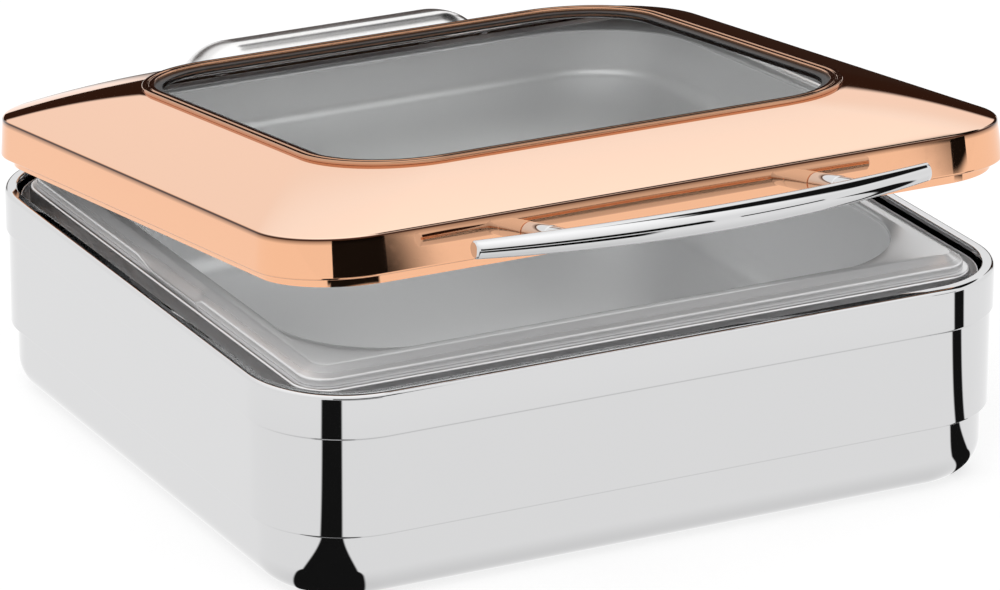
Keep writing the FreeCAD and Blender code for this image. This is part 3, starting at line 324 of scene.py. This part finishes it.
mirror_steel = metal("mirror_steel", STEEL, 0.015)
channel_steel = metal("channel_steel", (0.80, 0.80, 0.805), 0.32, smudge=0.06)
inner_steel = metal("inner_steel", (0.58, 0.58, 0.585), 0.22, smudge=0.06)
cover_steel = metal("cover_steel", (0.80, 0.79, 0.785), 0.20, smudge=0.04)
bezel_copper = metal("bezel_copper", (0.54, 0.29, 0.175), 0.07, edge=0.1)
pan_steel = metal("pan_steel", (0.84, 0.84, 0.845), 0.22, smudge=0.05, wave_scale=9.0)
copper = metal("mirror_copper", COPPER, 0.02, wave=0.015 * MM)
satin_steel = metal("satin_steel", (0.56, 0.565, 0.575), 0.28, brushed=0.12, grain=(0.05, 1, 1), edge=0.4)
ground_steel = metal("ground_ferritic", (0.42, 0.42, 0.43), 0.38, brushed=0.15, grain=(1, 0.04, 1), edge=0.3)
fastener_steel = metal("fastener_steel", (0.55, 0.55, 0.56), 0.22, brushed=0.08, grain=(1, 1, 0.1), edge=0.5)
bronze = metal("sintered_bronze", (0.55, 0.38, 0.20), 0.36, brushed=0.1, edge=0.3)


def paint_copper_highlight_and_crease():
    """Painted highlight and painted dark reflection: the copper's colour pales where its mirror direction points
    up, and darkens along the lid's crease.
    """
    shader = Shader(copper.node_tree)
    surface = copper.node_tree.nodes["Principled BSDF"]
    plain = surface.inputs["Base Color"].links[0].from_socket
    mirrored = shader.node("ShaderNodeTexCoord").outputs["Reflection"]
    height = shader.node("ShaderNodeSeparateXYZ", {"Vector": mirrored}).outputs["Z"]
    # Painted highlight: paler copper where the mirror direction points up.
    pale = shader.mix(shader.remap(height, 0.12, 0.55, 0, 1, smooth=True), plain, PAINTED_HIGHLIGHT_COPPER)
    crease = shader.node("ShaderNodeAttribute", attribute_name="crease").outputs["Fac"]
    # Painted dark reflection along the crease, placed by the crease mask.
    shader.feed(surface.inputs["Base Color"], shader.mix(crease, pale, PAINTED_CREASE_REFLECTION))


def shaded_inside():
    """Darkens the lid's inside wherever its mirror direction points level or down."""
    shader = Shader(inner_steel.node_tree)
    surface = inner_steel.node_tree.nodes["Principled BSDF"]
    plain = surface.inputs["Base Color"].links[0].from_socket
    mirrored = shader.node("ShaderNodeTexCoord").outputs["Reflection"]
    height = shader.node("ShaderNodeSeparateXYZ", {"Vector": mirrored}).outputs["Z"]
    shade = shader.mix(shader.remap(height, -0.15, 0.1, 1, 0, smooth=True), plain, INNER_SHADE)
    shader.feed(surface.inputs["Base Color"], shade)


def satin_well():
    """The well is rougher than the flange; part of both shades is matt, to stand for a satin finish."""
    shader = Shader(pan_steel.node_tree)
    surface = pan_steel.node_tree.nodes["Principled BSDF"]
    place = shader.node("ShaderNodeTexCoord").outputs["Object"]
    height = shader.node("ShaderNodeSeparateXYZ", {"Vector": place}).outputs["Z"]
    flange_metal, well_metal, well_roughness = 0.3, 0.72, 0.26
    deep = shader.remap(height, pan_high.z - 5 * MM, pan_high.z - 2 * MM, 1, 0, smooth=True)
    flange = surface.inputs["Base Color"].links[0].from_socket
    shader.feed(surface.inputs["Base Color"], shader.mix(deep, flange, WELL_STEEL))
    shader.feed(surface.inputs["Metallic"], shader.remap(deep, 0, 1, flange_metal, well_metal))
    polish = surface.inputs["Roughness"].links[0].from_socket
    rougher = shader.math("MULTIPLY", deep, well_roughness)
    shader.feed(surface.inputs["Roughness"], shader.math("ADD", polish, rougher))


paint_copper_highlight_and_crease()
shaded_inside()
satin_well()
slot_materials = {
    "polished_steel": mirror_steel,
    "rose_copper": copper,
    "satin_steel": satin_steel,
    "ferritic_steel": ground_steel,
    "fastener_steel": fastener_steel,
    "bronze": bronze,
    "clear_glass": clear_glass("clear_glass"),
    "black_silicone": moulded("black_silicone", (0.015, 0.015, 0.016), 0.5),
    "white_silicone": moulded("white_silicone", (0.72, 0.72, 0.70), 0.45, translucent=0.3),
    "damper_plastic": moulded("damper_plastic", (0.03, 0.03, 0.033), 0.4, grain_scale=900.0),
}


def finish_cad_nodes():
    """Gives each CAD node its slot's material and smooth shading with crisp edges."""
    for name, node in frame["nodes"].items():
        node.data.materials.clear()
        node.data.materials.append(slot_materials[slot_of[name]])
        node.data.shade_smooth()
        node.data.set_sharp_from_angle(angle=math.radians(30))


# ---------------------------------------------------------------- vessel

RIM = (vessel_high.x - vessel_low.x, vessel_high.y - vessel_low.y, 50 * MM)
rim_z = vessel_high.z
RECESS = RIM[0] / 2 - plate_high.x - 0.3 * MM
RECESS_TOP = plate_high.z + 0.05 * MM


def build_vessel():
    """Outer wall with two undercut steps, rolled rim, inner wall and floor."""
    upper, lower = 84 * MM, 34 * MM
    step_one, step_two, upper_run, lower_run = 1.5 * MM, 5 * MM, 0.7 * MM, 1.0 * MM
    flange, hem = 6.5 * MM, 3 * MM
    soft, fillet = 0.9 * MM, 26 * MM
    path = rounded_path([
        (RECESS, RECESS_TOP, 0), (RECESS, 0, 0.4 * MM), (step_two, 0, fillet),
        (step_two, lower, soft), (step_one, lower + lower_run, soft),
        (step_one, upper - upper_run / 3, soft), (0, upper + upper_run / 3, soft), (0, rim_z, 2.4 * MM),
        (flange, rim_z, 2.4 * MM), (flange, rim_z - hem, 0.4 * MM), (flange - SHEET, rim_z - hem, 0.4 * MM),
        (flange - SHEET, rim_z - SHEET, 1.2 * MM), (SHEET, rim_z - SHEET, 1.2 * MM),
        (SHEET, upper + upper_run / 3 + SHEET, soft), (step_one + SHEET, upper - upper_run / 3 + SHEET, soft),
        (step_one + SHEET, lower + lower_run + SHEET, soft), (step_two + SHEET, lower + SHEET, soft),
        (step_two + SHEET, SHEET, fillet - SHEET), (RECESS - SHEET, SHEET, 0.5 * MM),
        (RECESS - SHEET, RECESS_TOP + SHEET, 0.5 * MM), (RECESS + SHEET, RECESS_TOP + SHEET, 0)])
    return swept_shell("vessel", path, lambda u: inset(RIM, u), "base", mirror_steel, ["base_shell"],
                       looped=False, arc_steps=32)


# ---------------------------------------------------------------- pan and its frame

PAN_EDGE = (pan_high.x - pan_low.x, pan_high.y - pan_low.y, 14 * MM)
PAN_OPENING = (PAN_EDGE[0] - 27 * MM, PAN_EDGE[1] - 27 * MM, 58 * MM)
BEAD = 7 * MM
FLAT = 13.5 * MM                    # distance from the pan's edge to its opening
NOTCH_FRONT, NOTCH_REAR, NOTCH_DROP = -38 * MM, 34 * MM, 3.4 * MM


def pan_outline(u):
    """The pan's outline at an inward distance: edge, bead, flat flange, then the round-cornered well."""
    if u <= BEAD:
        return inset(PAN_EDGE, u)
    if u <= FLAT:
        return between(inset(PAN_EDGE, BEAD), PAN_OPENING, (u - BEAD) / (FLAT - BEAD))
    return inset(PAN_OPENING, u - FLAT)


def finger_notch(point):
    """Lowers the side edges over a short length, with a long ramp behind and a short one in front."""
    near_edge = smooth_step(abs(point.x), PAN_EDGE[0] / 2 - 5 * MM, PAN_EDGE[0] / 2 - 2 * MM)
    along = smooth_step(point.y, NOTCH_FRONT - 3 * MM, NOTCH_FRONT) \
        * (1 - smooth_step(point.y, NOTCH_REAR - 22 * MM, NOTCH_REAR))
    lift = smooth_step(point.z, pan_high.z - 8.5 * MM, pan_high.z - 3 * MM)
    return point - Vector((0, 0, NOTCH_DROP * near_edge * along * lift))


def build_pan():
    """Hemmed edge, sloping bead, flat flange and a well with rounded corners."""
    top, low = pan_high.z, pan_low.z
    hem, edge = top - 8 * MM, top - 4.5 * MM
    taper, fillet = 11 * MM, 20 * MM
    floor = FLAT + taper + 24 * MM
    path = rounded_path([
        (floor, low + SHEET, 0), (FLAT + taper, low + SHEET, fillet - SHEET), (FLAT, top, 3.2 * MM),
        (BEAD, top, 3 * MM), (0, edge, 1.6 * MM), (0, hem, 0.3 * MM), (SHEET, hem, 0.3 * MM),
        (SHEET, edge - 0.6 * MM, 1.2 * MM), (BEAD + 0.4 * MM, top - SHEET, 2.4 * MM),
        (FLAT - SHEET, top - SHEET, 2.4 * MM), (FLAT + taper - SHEET, low, fillet), (floor, low, 0)])
    return swept_shell("pan", path, pan_outline, "pan", pan_steel, ["food_pan"], looped=False,
                       side_steps=90, arc_steps=26, adjust=finger_notch)


def frame_outline(u):
    """The insert frame's outline: it follows the rim near the wall and the pan further in."""
    if u < 12 * MM:
        return inset(RIM, u)
    return inset(PAN_EDGE, u - (RIM[0] - PAN_EDGE[0]) / 2)


def build_pan_frame():
    """Outer lip, drip channel, riser, ledge and inner skirt in one folded sheet."""
    low, ledge = frame_low.z, frame_high.z
    lip_top = low + 10 * MM
    lip, riser, skirt = 7.6 * MM, 16.5 * MM, 26 * MM
    skirt_low = ledge - 7 * MM
    path = rounded_path([
        (lip, lip_top, 0.5 * MM), (lip, low, 1.8 * MM), (riser + SHEET, low, 1.8 * MM),
        (riser + SHEET, ledge - SHEET, 0.5 * MM), (skirt - SHEET, ledge - SHEET, 0.5 * MM),
        (skirt - SHEET, skirt_low, 0.3 * MM), (skirt, skirt_low, 0.3 * MM), (skirt, ledge, 1.5 * MM),
        (riser, ledge, 1.5 * MM), (riser, low + SHEET, 0.9 * MM), (lip + SHEET, low + SHEET, 0.9 * MM),
        (lip + SHEET, lip_top, 0.5 * MM)], closed=True)
    return swept_shell("insert_frame", path, frame_outline, "base", channel_steel, ["pan_frame"],
                       arc_steps=20)


# ---------------------------------------------------------------- lid

BAND = (lid_high.x - lid_low.x, lid_high.y - lid_low.y, 44 * MM)
WINDOW = (bezel_high.x - bezel_low.x, bezel_high.y - bezel_low.y, 52.5 * MM)
CREASE = 2 * MM                     # the crease stands this far inside the band
SLOPE = 51 * MM                     # run of the slope from crease to window
CREASE_ROUND = 1.8 * MM
LIP_DROP = 4.6 * MM
SKIRT_HIGH = 19 * MM
SUPPORT_HIGH = 16 * MM              # keeps the crease's painted dark line from spreading down the skirt
lid_top_z = lid_high.z
band_z = lid_low.z + LIP_DROP
crease_z = band_z + SKIRT_HIGH
LID_BULGE = 1.6 * MM
BOSS_HALF, BOSS_FRONT, BOSS_REAR, BOSS_HIGH = 89 * MM, 151 * MM, 184 * MM, 1.8 * MM


def lid_outline(u):
    """The lid's outline at an inward distance: band, slope, then the window's edge."""
    if u <= CREASE:
        return inset(BAND, u)
    if u <= CREASE + SLOPE:
        return between(inset(BAND, CREASE), WINDOW, (u - CREASE) / SLOPE)
    return inset(WINDOW, u - CREASE - SLOPE)


def crowned(share):
    """Height of the slope between crease (0) and window (1)."""
    return crease_z + (lid_top_z - crease_z) * share + LID_BULGE * 4 * share * (1 - share)


def slope_z(y):
    """Height of the slope behind the window on the centre line, without the pad."""
    crease_y, window_y = BAND[1] / 2 - CREASE, WINDOW[1] / 2
    return crowned(min(max((crease_y - y) / (crease_y - window_y), 0), 1))


def pad_share(x, y):
    """1 on the pressed pad under the hinge cover, 0 off it, with rounded corners."""
    corner = 14 * MM
    middle = (BOSS_FRONT + BOSS_REAR) / 2
    across = max(abs(x) - (BOSS_HALF - corner), 0)
    along = max(abs(y - middle) - ((BOSS_REAR - BOSS_FRONT) / 2 - corner), 0)
    return 1 - smooth_step(math.hypot(across, along), corner - 3.2 * MM, corner)


def press_pad(point):
    if point.z < crease_z:
        return LID_POSE @ point
    return LID_POSE @ (point + Vector((0, 0, BOSS_HIGH * pad_share(point.x, point.y))))


def build_lid():
    """Lip, leaning skirt, crease, crowned slope and the flat land round the window; steel inside."""
    shares = [k / 22 for k in range(1, 22)]
    lip_in = 5 * MM
    drop = SHEET * 1.05
    land = CREASE + SLOPE + 4 * MM
    outside = rounded_path([
        (lip_in, lid_low.z, 0.4 * MM), (lip_in, band_z, 0.5 * MM), (0, band_z, 1.0 * MM),
        (CREASE * SUPPORT_HIGH / SKIRT_HIGH, band_z + SUPPORT_HIGH, 0),
        (CREASE, crease_z, CREASE_ROUND)]
        + [(CREASE + SLOPE * share, crowned(share), 0) for share in shares]
        + [(CREASE + SLOPE, lid_top_z, 0), (land, lid_top_z, 0)])
    inside = rounded_path(
        [(land, lid_top_z - drop, 0), (CREASE + SLOPE, lid_top_z - drop, 0)]
        + [(CREASE + SLOPE * share, crowned(share) - drop, 0) for share in reversed(shares)]
        + [(CREASE + SHEET, crease_z - drop, CREASE_ROUND), (SHEET, band_z + SHEET, 1.0 * MM),
           (lip_in + SHEET, band_z + SHEET, 0.5 * MM), (lip_in + SHEET, lid_low.z, 0.3 * MM)])
    piece = swept_shell("lid", outside + inside, lid_outline, "lid", copper, ["lid_shell"],
                        side_steps=110, arc_steps=32, adjust=press_pad)
    piece.data.materials.append(inner_steel)
    ring_size = len(piece.data.vertices) // (len(outside) + len(inside))
    inner_first = len(outside) * ring_size
    for face in piece.data.polygons:
        if min(face.vertices) >= inner_first:
            face.material_index = 1
    # Mask for the painted dark reflection along the crease.
    crease = piece.data.attributes.new("crease", "FLOAT", "POINT")
    line_z, line_core, line_edge = crease_z - CREASE_ROUND / 3, 0.35 * MM, 0.6 * MM
    for k, vertex in enumerate(piece.data.vertices[:inner_first]):
        away = abs((LID_POSE.inverted() @ vertex.co).z - line_z)
        crease.data[k].value = 1 - smooth_step(away, line_core, line_edge)
    return piece


def build_bezel():
    """Ring with two beads and a groove, and a collar that goes down through the opening."""
    low, high = lid_top_z + 0.05 * MM, bezel_high.z
    wide, groove = 6.2 * MM, 0.6 * MM
    collar_out, collar_in, collar_low = 4.3 * MM, 5.5 * MM, bezel_low.z
    bead = 0.55 * MM
    path = rounded_path([
        (0, low, 0.2 * MM), (0, high, bead), (2.5 * MM, high, bead), (3.0 * MM, high - groove, 0.3 * MM),
        (3.6 * MM, high, bead), (wide, high, bead), (wide, low, 0.3 * MM), (collar_in, low, 0.3 * MM),
        (collar_in, collar_low, 0.3 * MM), (collar_out, collar_low, 0.3 * MM), (collar_out, low, 0.2 * MM)],
        closed=True)
    return swept_shell("bezel", path, lambda u: inset(WINDOW, u), "lid", bezel_copper, ["window_bezel"],
                       arc_steps=32, adjust=lambda point: LID_POSE @ point)


# ---------------------------------------------------------------- handle

BAR_END_RADIUS, BAR_MIDDLE_RADIUS = 4.3 * MM, 6.2 * MM
BAR_STATIONS, BAR_SIDES = 90, 48
bar_half = bar_high.x
bar_z = (bar_low.z + bar_high.z) / 2
bar_middle_y = bar_low.y + BAR_MIDDLE_RADIUS
bar_end_y = bar_high.y - BAR_END_RADIUS
POST_RADIUS = 5.2 * MM
post_x = post_high.x - POST_RADIUS


def bar_at(x):
    """Centre Y and radius of the handle's bar at a distance from its middle."""
    share = 1 - (x / bar_half) ** 2
    return (bar_end_y + (bar_middle_y - bar_end_y) * share,
            BAR_END_RADIUS + (BAR_MIDDLE_RADIUS - BAR_END_RADIUS) * share)


def build_bar():
    """Bow-shaped bar, thickest in the middle, with flat ends and a small bevel."""
    bevel = 0.7 * MM
    stations = [(-bar_half, bevel), (-bar_half + bevel, 0)]
    stations += [(bar_half * (2 * k / BAR_STATIONS - 1), 0) for k in range(1, BAR_STATIONS)]
    stations += [(bar_half - bevel, 0), (bar_half, bevel)]
    turns = [2 * math.pi * k / BAR_SIDES for k in range(BAR_SIDES)]
    rings = []
    for x, cut in stations:
        y, radius = bar_at(x)
        reach = radius - cut
        rings.append([LID_POSE @ Vector((x, y + reach * math.cos(t), bar_z + reach * math.sin(t)))
                      for t in turns])
    vertices = [v for ring in rings for v in ring]
    faces = bridge(rings, looped=False)
    faces.append(tuple(range(BAR_SIDES)))
    faces.append(tuple(range(len(vertices) - BAR_SIDES, len(vertices))))
    return make_object("handle", vertices, faces, "lid", mirror_steel, ["handle_bar"])


def turned_piece(profile, sides, place):
    """Vertices and faces of a turned part: (distance along, radius) pairs, laid out by place(along, y, z)."""
    turns = [2 * math.pi * k / sides for k in range(sides)]
    rings = [[place(along, radius * math.cos(t), radius * math.sin(t)) for t in turns]
             for along, radius in profile]
    faces = bridge(rings, looped=False)
    faces.append(tuple(range(sides)))
    faces.append(tuple(range((len(rings) - 1) * sides, len(rings) * sides)))
    return [v for ring in rings for v in ring], faces


def build_posts():
    """Two turned posts: a joint ring at the skirt, a plain drum, a fine groove and a neck at the bar."""
    lean = CREASE / (crease_z - band_z)
    bar_y, bar_radius = bar_at(post_x)
    foot_z = (bar_z + lean * (bar_y + BAND[1] / 2 + lean * band_z)) / (1 + lean * lean)
    foot = Vector((0, lean * (foot_z - band_z) - BAND[1] / 2, foot_z))
    outward = Vector((0, -1, lean)).normalized()
    upward = Vector((0, lean, 1)).normalized()
    length = (foot.y - bar_y) / -outward.y - bar_radius * 0.5
    drum, ring = POST_RADIUS, POST_RADIUS - 0.5 * MM
    groove = length * 0.6
    profile = rounded_path([
        (-0.8 * MM, ring, 0), (0.5 * MM, ring, 0.1 * MM), (0.6 * MM, drum, 0.3 * MM),
        (groove, drum, 0.4 * MM), (groove + 0.3 * MM, ring, 0.15 * MM),
        (groove + 0.7 * MM, ring, 0.15 * MM), (groove + 1.0 * MM, drum - 0.2 * MM, 0.3 * MM),
        (length, ring, 0)])

    def place(side, along, across, height):
        return LID_POSE @ (foot + Vector((side * post_x + across, 0, 0)) + outward * along + upward * height)

    vertices, faces = [], []
    for side in (-1, 1):
        part, part_faces = turned_piece(profile, 48, lambda along, a, b: place(side, along, a, b))
        faces += [tuple(k + len(vertices) for k in face) for face in part_faces]
        vertices += part
    return make_object("handle_stems", vertices, faces, "lid", mirror_steel, ["handle_posts"])


# ---------------------------------------------------------------- hinge cover

COVER_CENTRE = (170 * MM, 120.4 * MM)
COVER_LOW_Z = 124 * MM
COVER_REAR, COVER_FRONT, COVER_RISE = 50 * MM, 14 * MM, 30.6 * MM
COVER_STRAIGHT, COVER_END = 56 * MM, 28 * MM
SLOT_IN, SLOT_OUT, SLOT_TOP = 45 * MM, 53.2 * MM, 135.5 * MM
COVER_SHEET = 1.2 * MM


def cover_point(x, turn):
    """A point on the cover's skin: turn 0 points rearwards, 90 degrees up, 180 forwards."""
    past = max(abs(x) - COVER_STRAIGHT, 0) / COVER_END
    scale = math.sqrt(max(1 - past * past, 0))
    reach = COVER_REAR if turn < math.pi / 2 else COVER_FRONT
    return Vector((x, COVER_CENTRE[0] + reach * scale * math.cos(turn),
                   COVER_CENTRE[1] + COVER_RISE * scale * math.sin(turn)))


def inside_lid(point):
    """True where a point lies within the lid's outer surface."""
    if point.y > BAND[1] / 2 - CREASE:
        lean = CREASE * (point.z - band_z) / (crease_z - band_z)
        return point.z < crease_z and point.y < BAND[1] / 2 - lean
    return point.z < slope_z(point.y) + BOSS_HIGH * pad_share(point.x, point.y)


def cover_limits(x):
    """First and last turn of the cover's cross-section: lower rear edge, and where it meets the lid."""
    past = max(abs(x) - COVER_STRAIGHT, 0) / COVER_END
    scale = math.sqrt(1 - past * past)
    first = math.asin((COVER_LOW_Z - COVER_CENTRE[1]) / (COVER_RISE * scale))
    low, high = first, math.pi
    while high - low > 1e-5:
        middle = (low + high) / 2
        if inside_lid(cover_point(x, middle)):
            high = middle
        else:
            low = middle
    return first, low


def build_cover():
    """Long rounded cover, cut off below, closed against the lid and slotted for the bracket's ears."""
    reach = BAND[1] / 2 + 0.2 * MM - COVER_CENTRE[0]
    flat = (COVER_REAR * (COVER_LOW_Z - COVER_CENTRE[1]) / COVER_RISE) ** 2
    end_scale = math.sqrt(reach * reach + flat) / COVER_REAR
    end_turn = math.acos(end_scale)
    right = [COVER_STRAIGHT + COVER_END * math.sin(end_turn * k / 28) for k in range(29)]
    middle = [k * 4 * MM for k in range(12)] + [SLOT_IN, 49 * MM, SLOT_OUT]
    half = sorted(set(middle + right))
    stations = [-x for x in reversed(half) if x > 0] + half
    first, last = cover_limits(0)
    slot_turn = math.asin((SLOT_TOP - COVER_CENTRE[1]) / COVER_RISE)
    low_rows = [(slot_turn - first) / (last - first) * k / 10 for k in range(10)]
    start = (slot_turn - first) / (last - first)
    rows = low_rows + [start + (1 - start) * k / 54 for k in range(55)]
    vertices = []
    for x in stations:
        first, last = cover_limits(x)
        vertices += [LID_POSE @ cover_point(x, first + (last - first) * row) for row in rows]
    faces = []
    for k, (x, following) in enumerate(zip(stations, stations[1:])):
        middle_x = abs(x + following) / 2
        for row in range(len(rows) - 1):
            if SLOT_IN < middle_x < SLOT_OUT and row < len(low_rows):
                continue
            corner = k * len(rows) + row
            faces.append((corner, corner + 1, corner + 1 + len(rows), corner + len(rows)))
    piece = make_object("rear_cover", vertices, faces, "lid", cover_steel, ["hinge_cover"])
    thickness = piece.modifiers.new("sheet", "SOLIDIFY")
    thickness.thickness = COVER_SHEET
    thickness.offset = -1
    return piece


# ---------------------------------------------------------------- studio

BLACK, BROWN = (0.009, 0.009, 0.009), (0.030, 0.014, 0.009)     # radiance of the dark openings
FLOOR_GLOW = (0.68, 0.68, 0.68)     # light the floor gives off to all but mirror rays
LIGHT_THROUGH_PANE = (0.95, 0.95, 0.95)

# Dark openings in the walls, in degrees: azimuth from, to and softness, then elevation the same way.
FRONT_OPENING = ((-36, 24.75, 0.25), (-2, 17, 2))
RIGHT_SLIT = ((29.45, 45, 0.25), (0, 7, 1))
HIGH_RIGHT_PANEL = ((64, 132, 5), (36, 67, 2))

# Dark wedges of floor, as bearings in degrees from a front corner's centre: far away, then close by.
LEFT_WEDGE = ((-47, -27), (-66, -10))
RIGHT_WEDGE = ((40, 53), (34, 60))


def direction_angles(shader, direction):
    """Azimuth (0 in front, positive to the right) and elevation of a ray, in degrees."""
    parts = shader.node("ShaderNodeSeparateXYZ", {"Vector": direction}).outputs
    forward = shader.math("MULTIPLY", parts["Y"], -1.0)
    azimuth = shader.math("DEGREES", shader.math("ARCTAN2", parts["X"], forward))
    elevation = shader.math("DEGREES", shader.math("ARCSINE", parts["Z"]))
    return azimuth, elevation


def first_reflection(shader):
    """1 for rays that have met one mirror only, so the dark gaps do not repeat inside the dish."""
    depth = shader.node("ShaderNodeLightPath").outputs["Glossy Depth"]
    return shader.math("LESS_THAN", depth, 1.5)


def corner_gap(shader, place, side, far, near):
    """A dark wedge of floor seen from a front corner's centre, wider close to the vessel."""
    across = shader.math("SUBTRACT", place["X"], side * (RIM[0] / 2 - RIM[2]))
    ahead = shader.math("SUBTRACT", -(RIM[1] / 2 - RIM[2]), place["Y"])
    bearing = shader.math("DEGREES", shader.math("ARCTAN2", across, ahead))
    offset = shader.node("ShaderNodeCombineXYZ", {0: across, 1: ahead}).outputs[0]
    reach = shader.node("ShaderNodeVectorMath", {0: offset}, operation="LENGTH").outputs["Value"]
    soft = 1.2
    close = shader.remap(reach, 0.06, 0.12, 1, 0, smooth=True)
    low = shader.remap(close, 0, 1, far[0], near[0])
    high = shader.remap(close, 0, 1, far[1], near[1])
    after_low = shader.remap(shader.math("SUBTRACT", bearing, low), -soft, soft, 0, 1, smooth=True)
    before_high = shader.remap(shader.math("SUBTRACT", bearing, high), -soft, soft, 1, 0, smooth=True)
    return shader.math("MULTIPLY", after_low, before_high)


def build_floor():
    """Plain pale floor to the camera; mirror rays see dark wedges and a dark far front and back in it."""
    half = 6.0
    mesh = bpy.data.meshes.new("floor")
    corners = [(-half, -half, 0), (half, -half, 0), (half, half, 0), (-half, half, 0)]
    mesh.from_pydata(corners, [], [(0, 1, 2, 3)])
    floor = bpy.data.objects.new("floor", mesh)
    bpy.context.scene.collection.objects.link(floor)
    floor.location.z = -0.15 * MM
    material, shader, surface = new_material("floor_paper")
    surface.inputs["Roughness"].default_value = 1.0
    surface.inputs["Specular IOR Level"].default_value = 0.0
    geometry = shader.node("ShaderNodeNewGeometry")
    ray = shader.node("ShaderNodeVectorMath", {0: geometry.outputs["Incoming"], 1: (-1.0, -1.0, -1.0)},
                      operation="MULTIPLY").outputs[0]
    azimuth, elevation = direction_angles(shader, ray)
    place = shader.node("ShaderNodeSeparateXYZ", {"Vector": geometry.outputs["Position"]}).outputs
    left_gap = corner_gap(shader, place, -1, *LEFT_WEDGE)
    right_gap = corner_gap(shader, place, 1, *RIGHT_WEDGE)
    gaps = shader.math("MULTIPLY", shader.math("MAXIMUM", left_gap, right_gap),
                       shader.remap(elevation, -12, -8, 1, 0, smooth=True))
    behind = shader.math("MULTIPLY", shader.remap(place["Y"], 0.30, 0.36, 0, 1, smooth=True),
                         shader.window(azimuth, 139, 158, 1.5))
    front = shader.math("MULTIPLY", shader.remap(place["Y"], -0.60, -0.54, 1, 0, smooth=True),
                        shader.window(azimuth, -45, 16, 2))
    front = shader.math("MULTIPLY", front, shader.remap(elevation, -8, -6, 1, 0, smooth=True))
    once = first_reflection(shader)
    dark = shader.math("MULTIPLY", shader.math("MAXIMUM", gaps, front), once)
    light_path = shader.node("ShaderNodeLightPath").outputs
    glossy = shader.math("MULTIPLY", light_path["Is Glossy Ray"],
                         shader.math("SUBTRACT", 1.0, light_path["Is Transmission Ray"]))
    fleck = shader.noise(shader.node("ShaderNodeTexCoord").outputs["Object"], 3.0, 2.0)
    paper = shader.mix(shader.remap(fleck, 0.3, 0.7, 0, 1), (0.33, 0.33, 0.33), (0.37, 0.37, 0.37))
    shader.feed(surface.inputs["Base Color"], shader.mix(glossy, paper, (0.0, 0.0, 0.0)))
    near = shader.remap(elevation, -70, -20, 0.86, 1.06)
    mirrored = shader.node("ShaderNodeCombineXYZ", {0: near, 1: near, 2: near}).outputs[0]
    mirrored = shader.mix(behind, shader.mix(dark, mirrored, BLACK), BROWN)
    shader.feed(surface.inputs["Emission Color"], shader.mix(glossy, FLOOR_GLOW, mirrored))
    surface.inputs["Emission Strength"].default_value = 1.0
    floor.data.materials.append(material)


def build_world():
    """White surroundings; mirror rays see dark openings in front, at the right and low at the back."""
    world = bpy.data.worlds.new("studio")
    bpy.context.scene.world = world
    world.use_nodes = True
    shader = Shader(world.node_tree)
    background = world.node_tree.nodes["Background"]
    direction = shader.node("ShaderNodeTexCoord").outputs["Generated"]
    azimuth, elevation = direction_angles(shader, direction)
    front, slit, panel = [
        shader.math("MULTIPLY", shader.window(azimuth, *across), shader.window(elevation, *upward))
        for across, upward in (FRONT_OPENING, RIGHT_SLIT, HIGH_RIGHT_PANEL)]
    parts = shader.node("ShaderNodeSeparateXYZ", {"Vector": direction}).outputs
    from_back = shader.math("DEGREES", shader.math("ARCTAN2", parts["X"], parts["Y"]))
    back_top = shader.remap(from_back, 40, 60, 10, 30, smooth=True)
    low_back = shader.math("MULTIPLY", shader.window(from_back, -3, 62, 4),
                           shader.remap(shader.math("SUBTRACT", elevation, back_top), -1.5, 1.5, 1, 0,
                                        smooth=True))
    dark = shader.math("MAXIMUM", shader.math("MAXIMUM", front, slit), panel)
    dark = shader.math("MULTIPLY", dark, first_reflection(shader))
    glow = shader.remap(elevation, 20, 80, 1.04, 1.45)
    white = shader.node("ShaderNodeCombineXYZ", {0: glow, 1: glow, 2: glow}).outputs[0]
    seen = shader.mix(low_back, shader.mix(dark, white, BLACK), BROWN)
    light_path = shader.node("ShaderNodeLightPath").outputs
    colour = shader.mix(light_path["Is Glossy Ray"], (1.0, 1.0, 1.0), seen)
    colour = shader.mix(light_path["Is Transmission Ray"], colour, LIGHT_THROUGH_PANE)
    shader.feed(background.inputs["Color"], colour)
    background.inputs["Strength"].default_value = 1.0


def build_lights():
    """One large soft lamp above and to the left, unseen by the mirrors."""
    lamp = bpy.data.lights.new("key", "AREA")
    lamp.shape = "RECTANGLE"
    lamp.size, lamp.size_y = 2.2, 1.6
    lamp.energy = 14
    key = bpy.data.objects.new("key", lamp)
    bpy.context.scene.collection.objects.link(key)
    key.location = (-1.1, -0.9, 2.4)
    key.rotation_euler = (Vector((0, 0, 0.05)) - key.location).to_track_quat("-Z", "Y").to_euler()
    key.visible_glossy = False


def build_camera():
    """Long lens from the front left and a little above."""
    azimuth, elevation, roll = (math.radians(angle) for angle in (-27.25, 20.49, 0.17))
    target, distance = Vector((4.4, 0.0, 66.0)) * MM, 3.255
    back = Vector((math.sin(azimuth) * math.cos(elevation), -math.cos(azimuth) * math.cos(elevation),
                   math.sin(elevation)))
    level = Vector((math.cos(azimuth), math.sin(azimuth), 0))
    upright = back.cross(level)
    right = level * math.cos(roll) + upright * math.sin(roll)
    up = back.cross(right)
    lens = bpy.data.cameras.new("camera")
    lens.sensor_width = 36
    lens.lens = 237.9
    lens.clip_end = 50
    camera = bpy.data.objects.new("camera", lens)
    bpy.context.scene.collection.objects.link(camera)
    rotation = Matrix((right, up, back)).transposed().to_4x4()
    camera.matrix_world = Matrix.Translation(target + back * distance) @ rotation
    bpy.context.scene.camera = camera


# ---------------------------------------------------------------- build

finish_cad_nodes()
build_vessel()
build_pan()
build_pan_frame()
build_lid()
build_bezel()
build_bar()
build_posts()
build_cover()
build_floor()
build_world()
build_lights()
build_camera()
bpy.context.scene.view_settings.view_transform = "Standard"
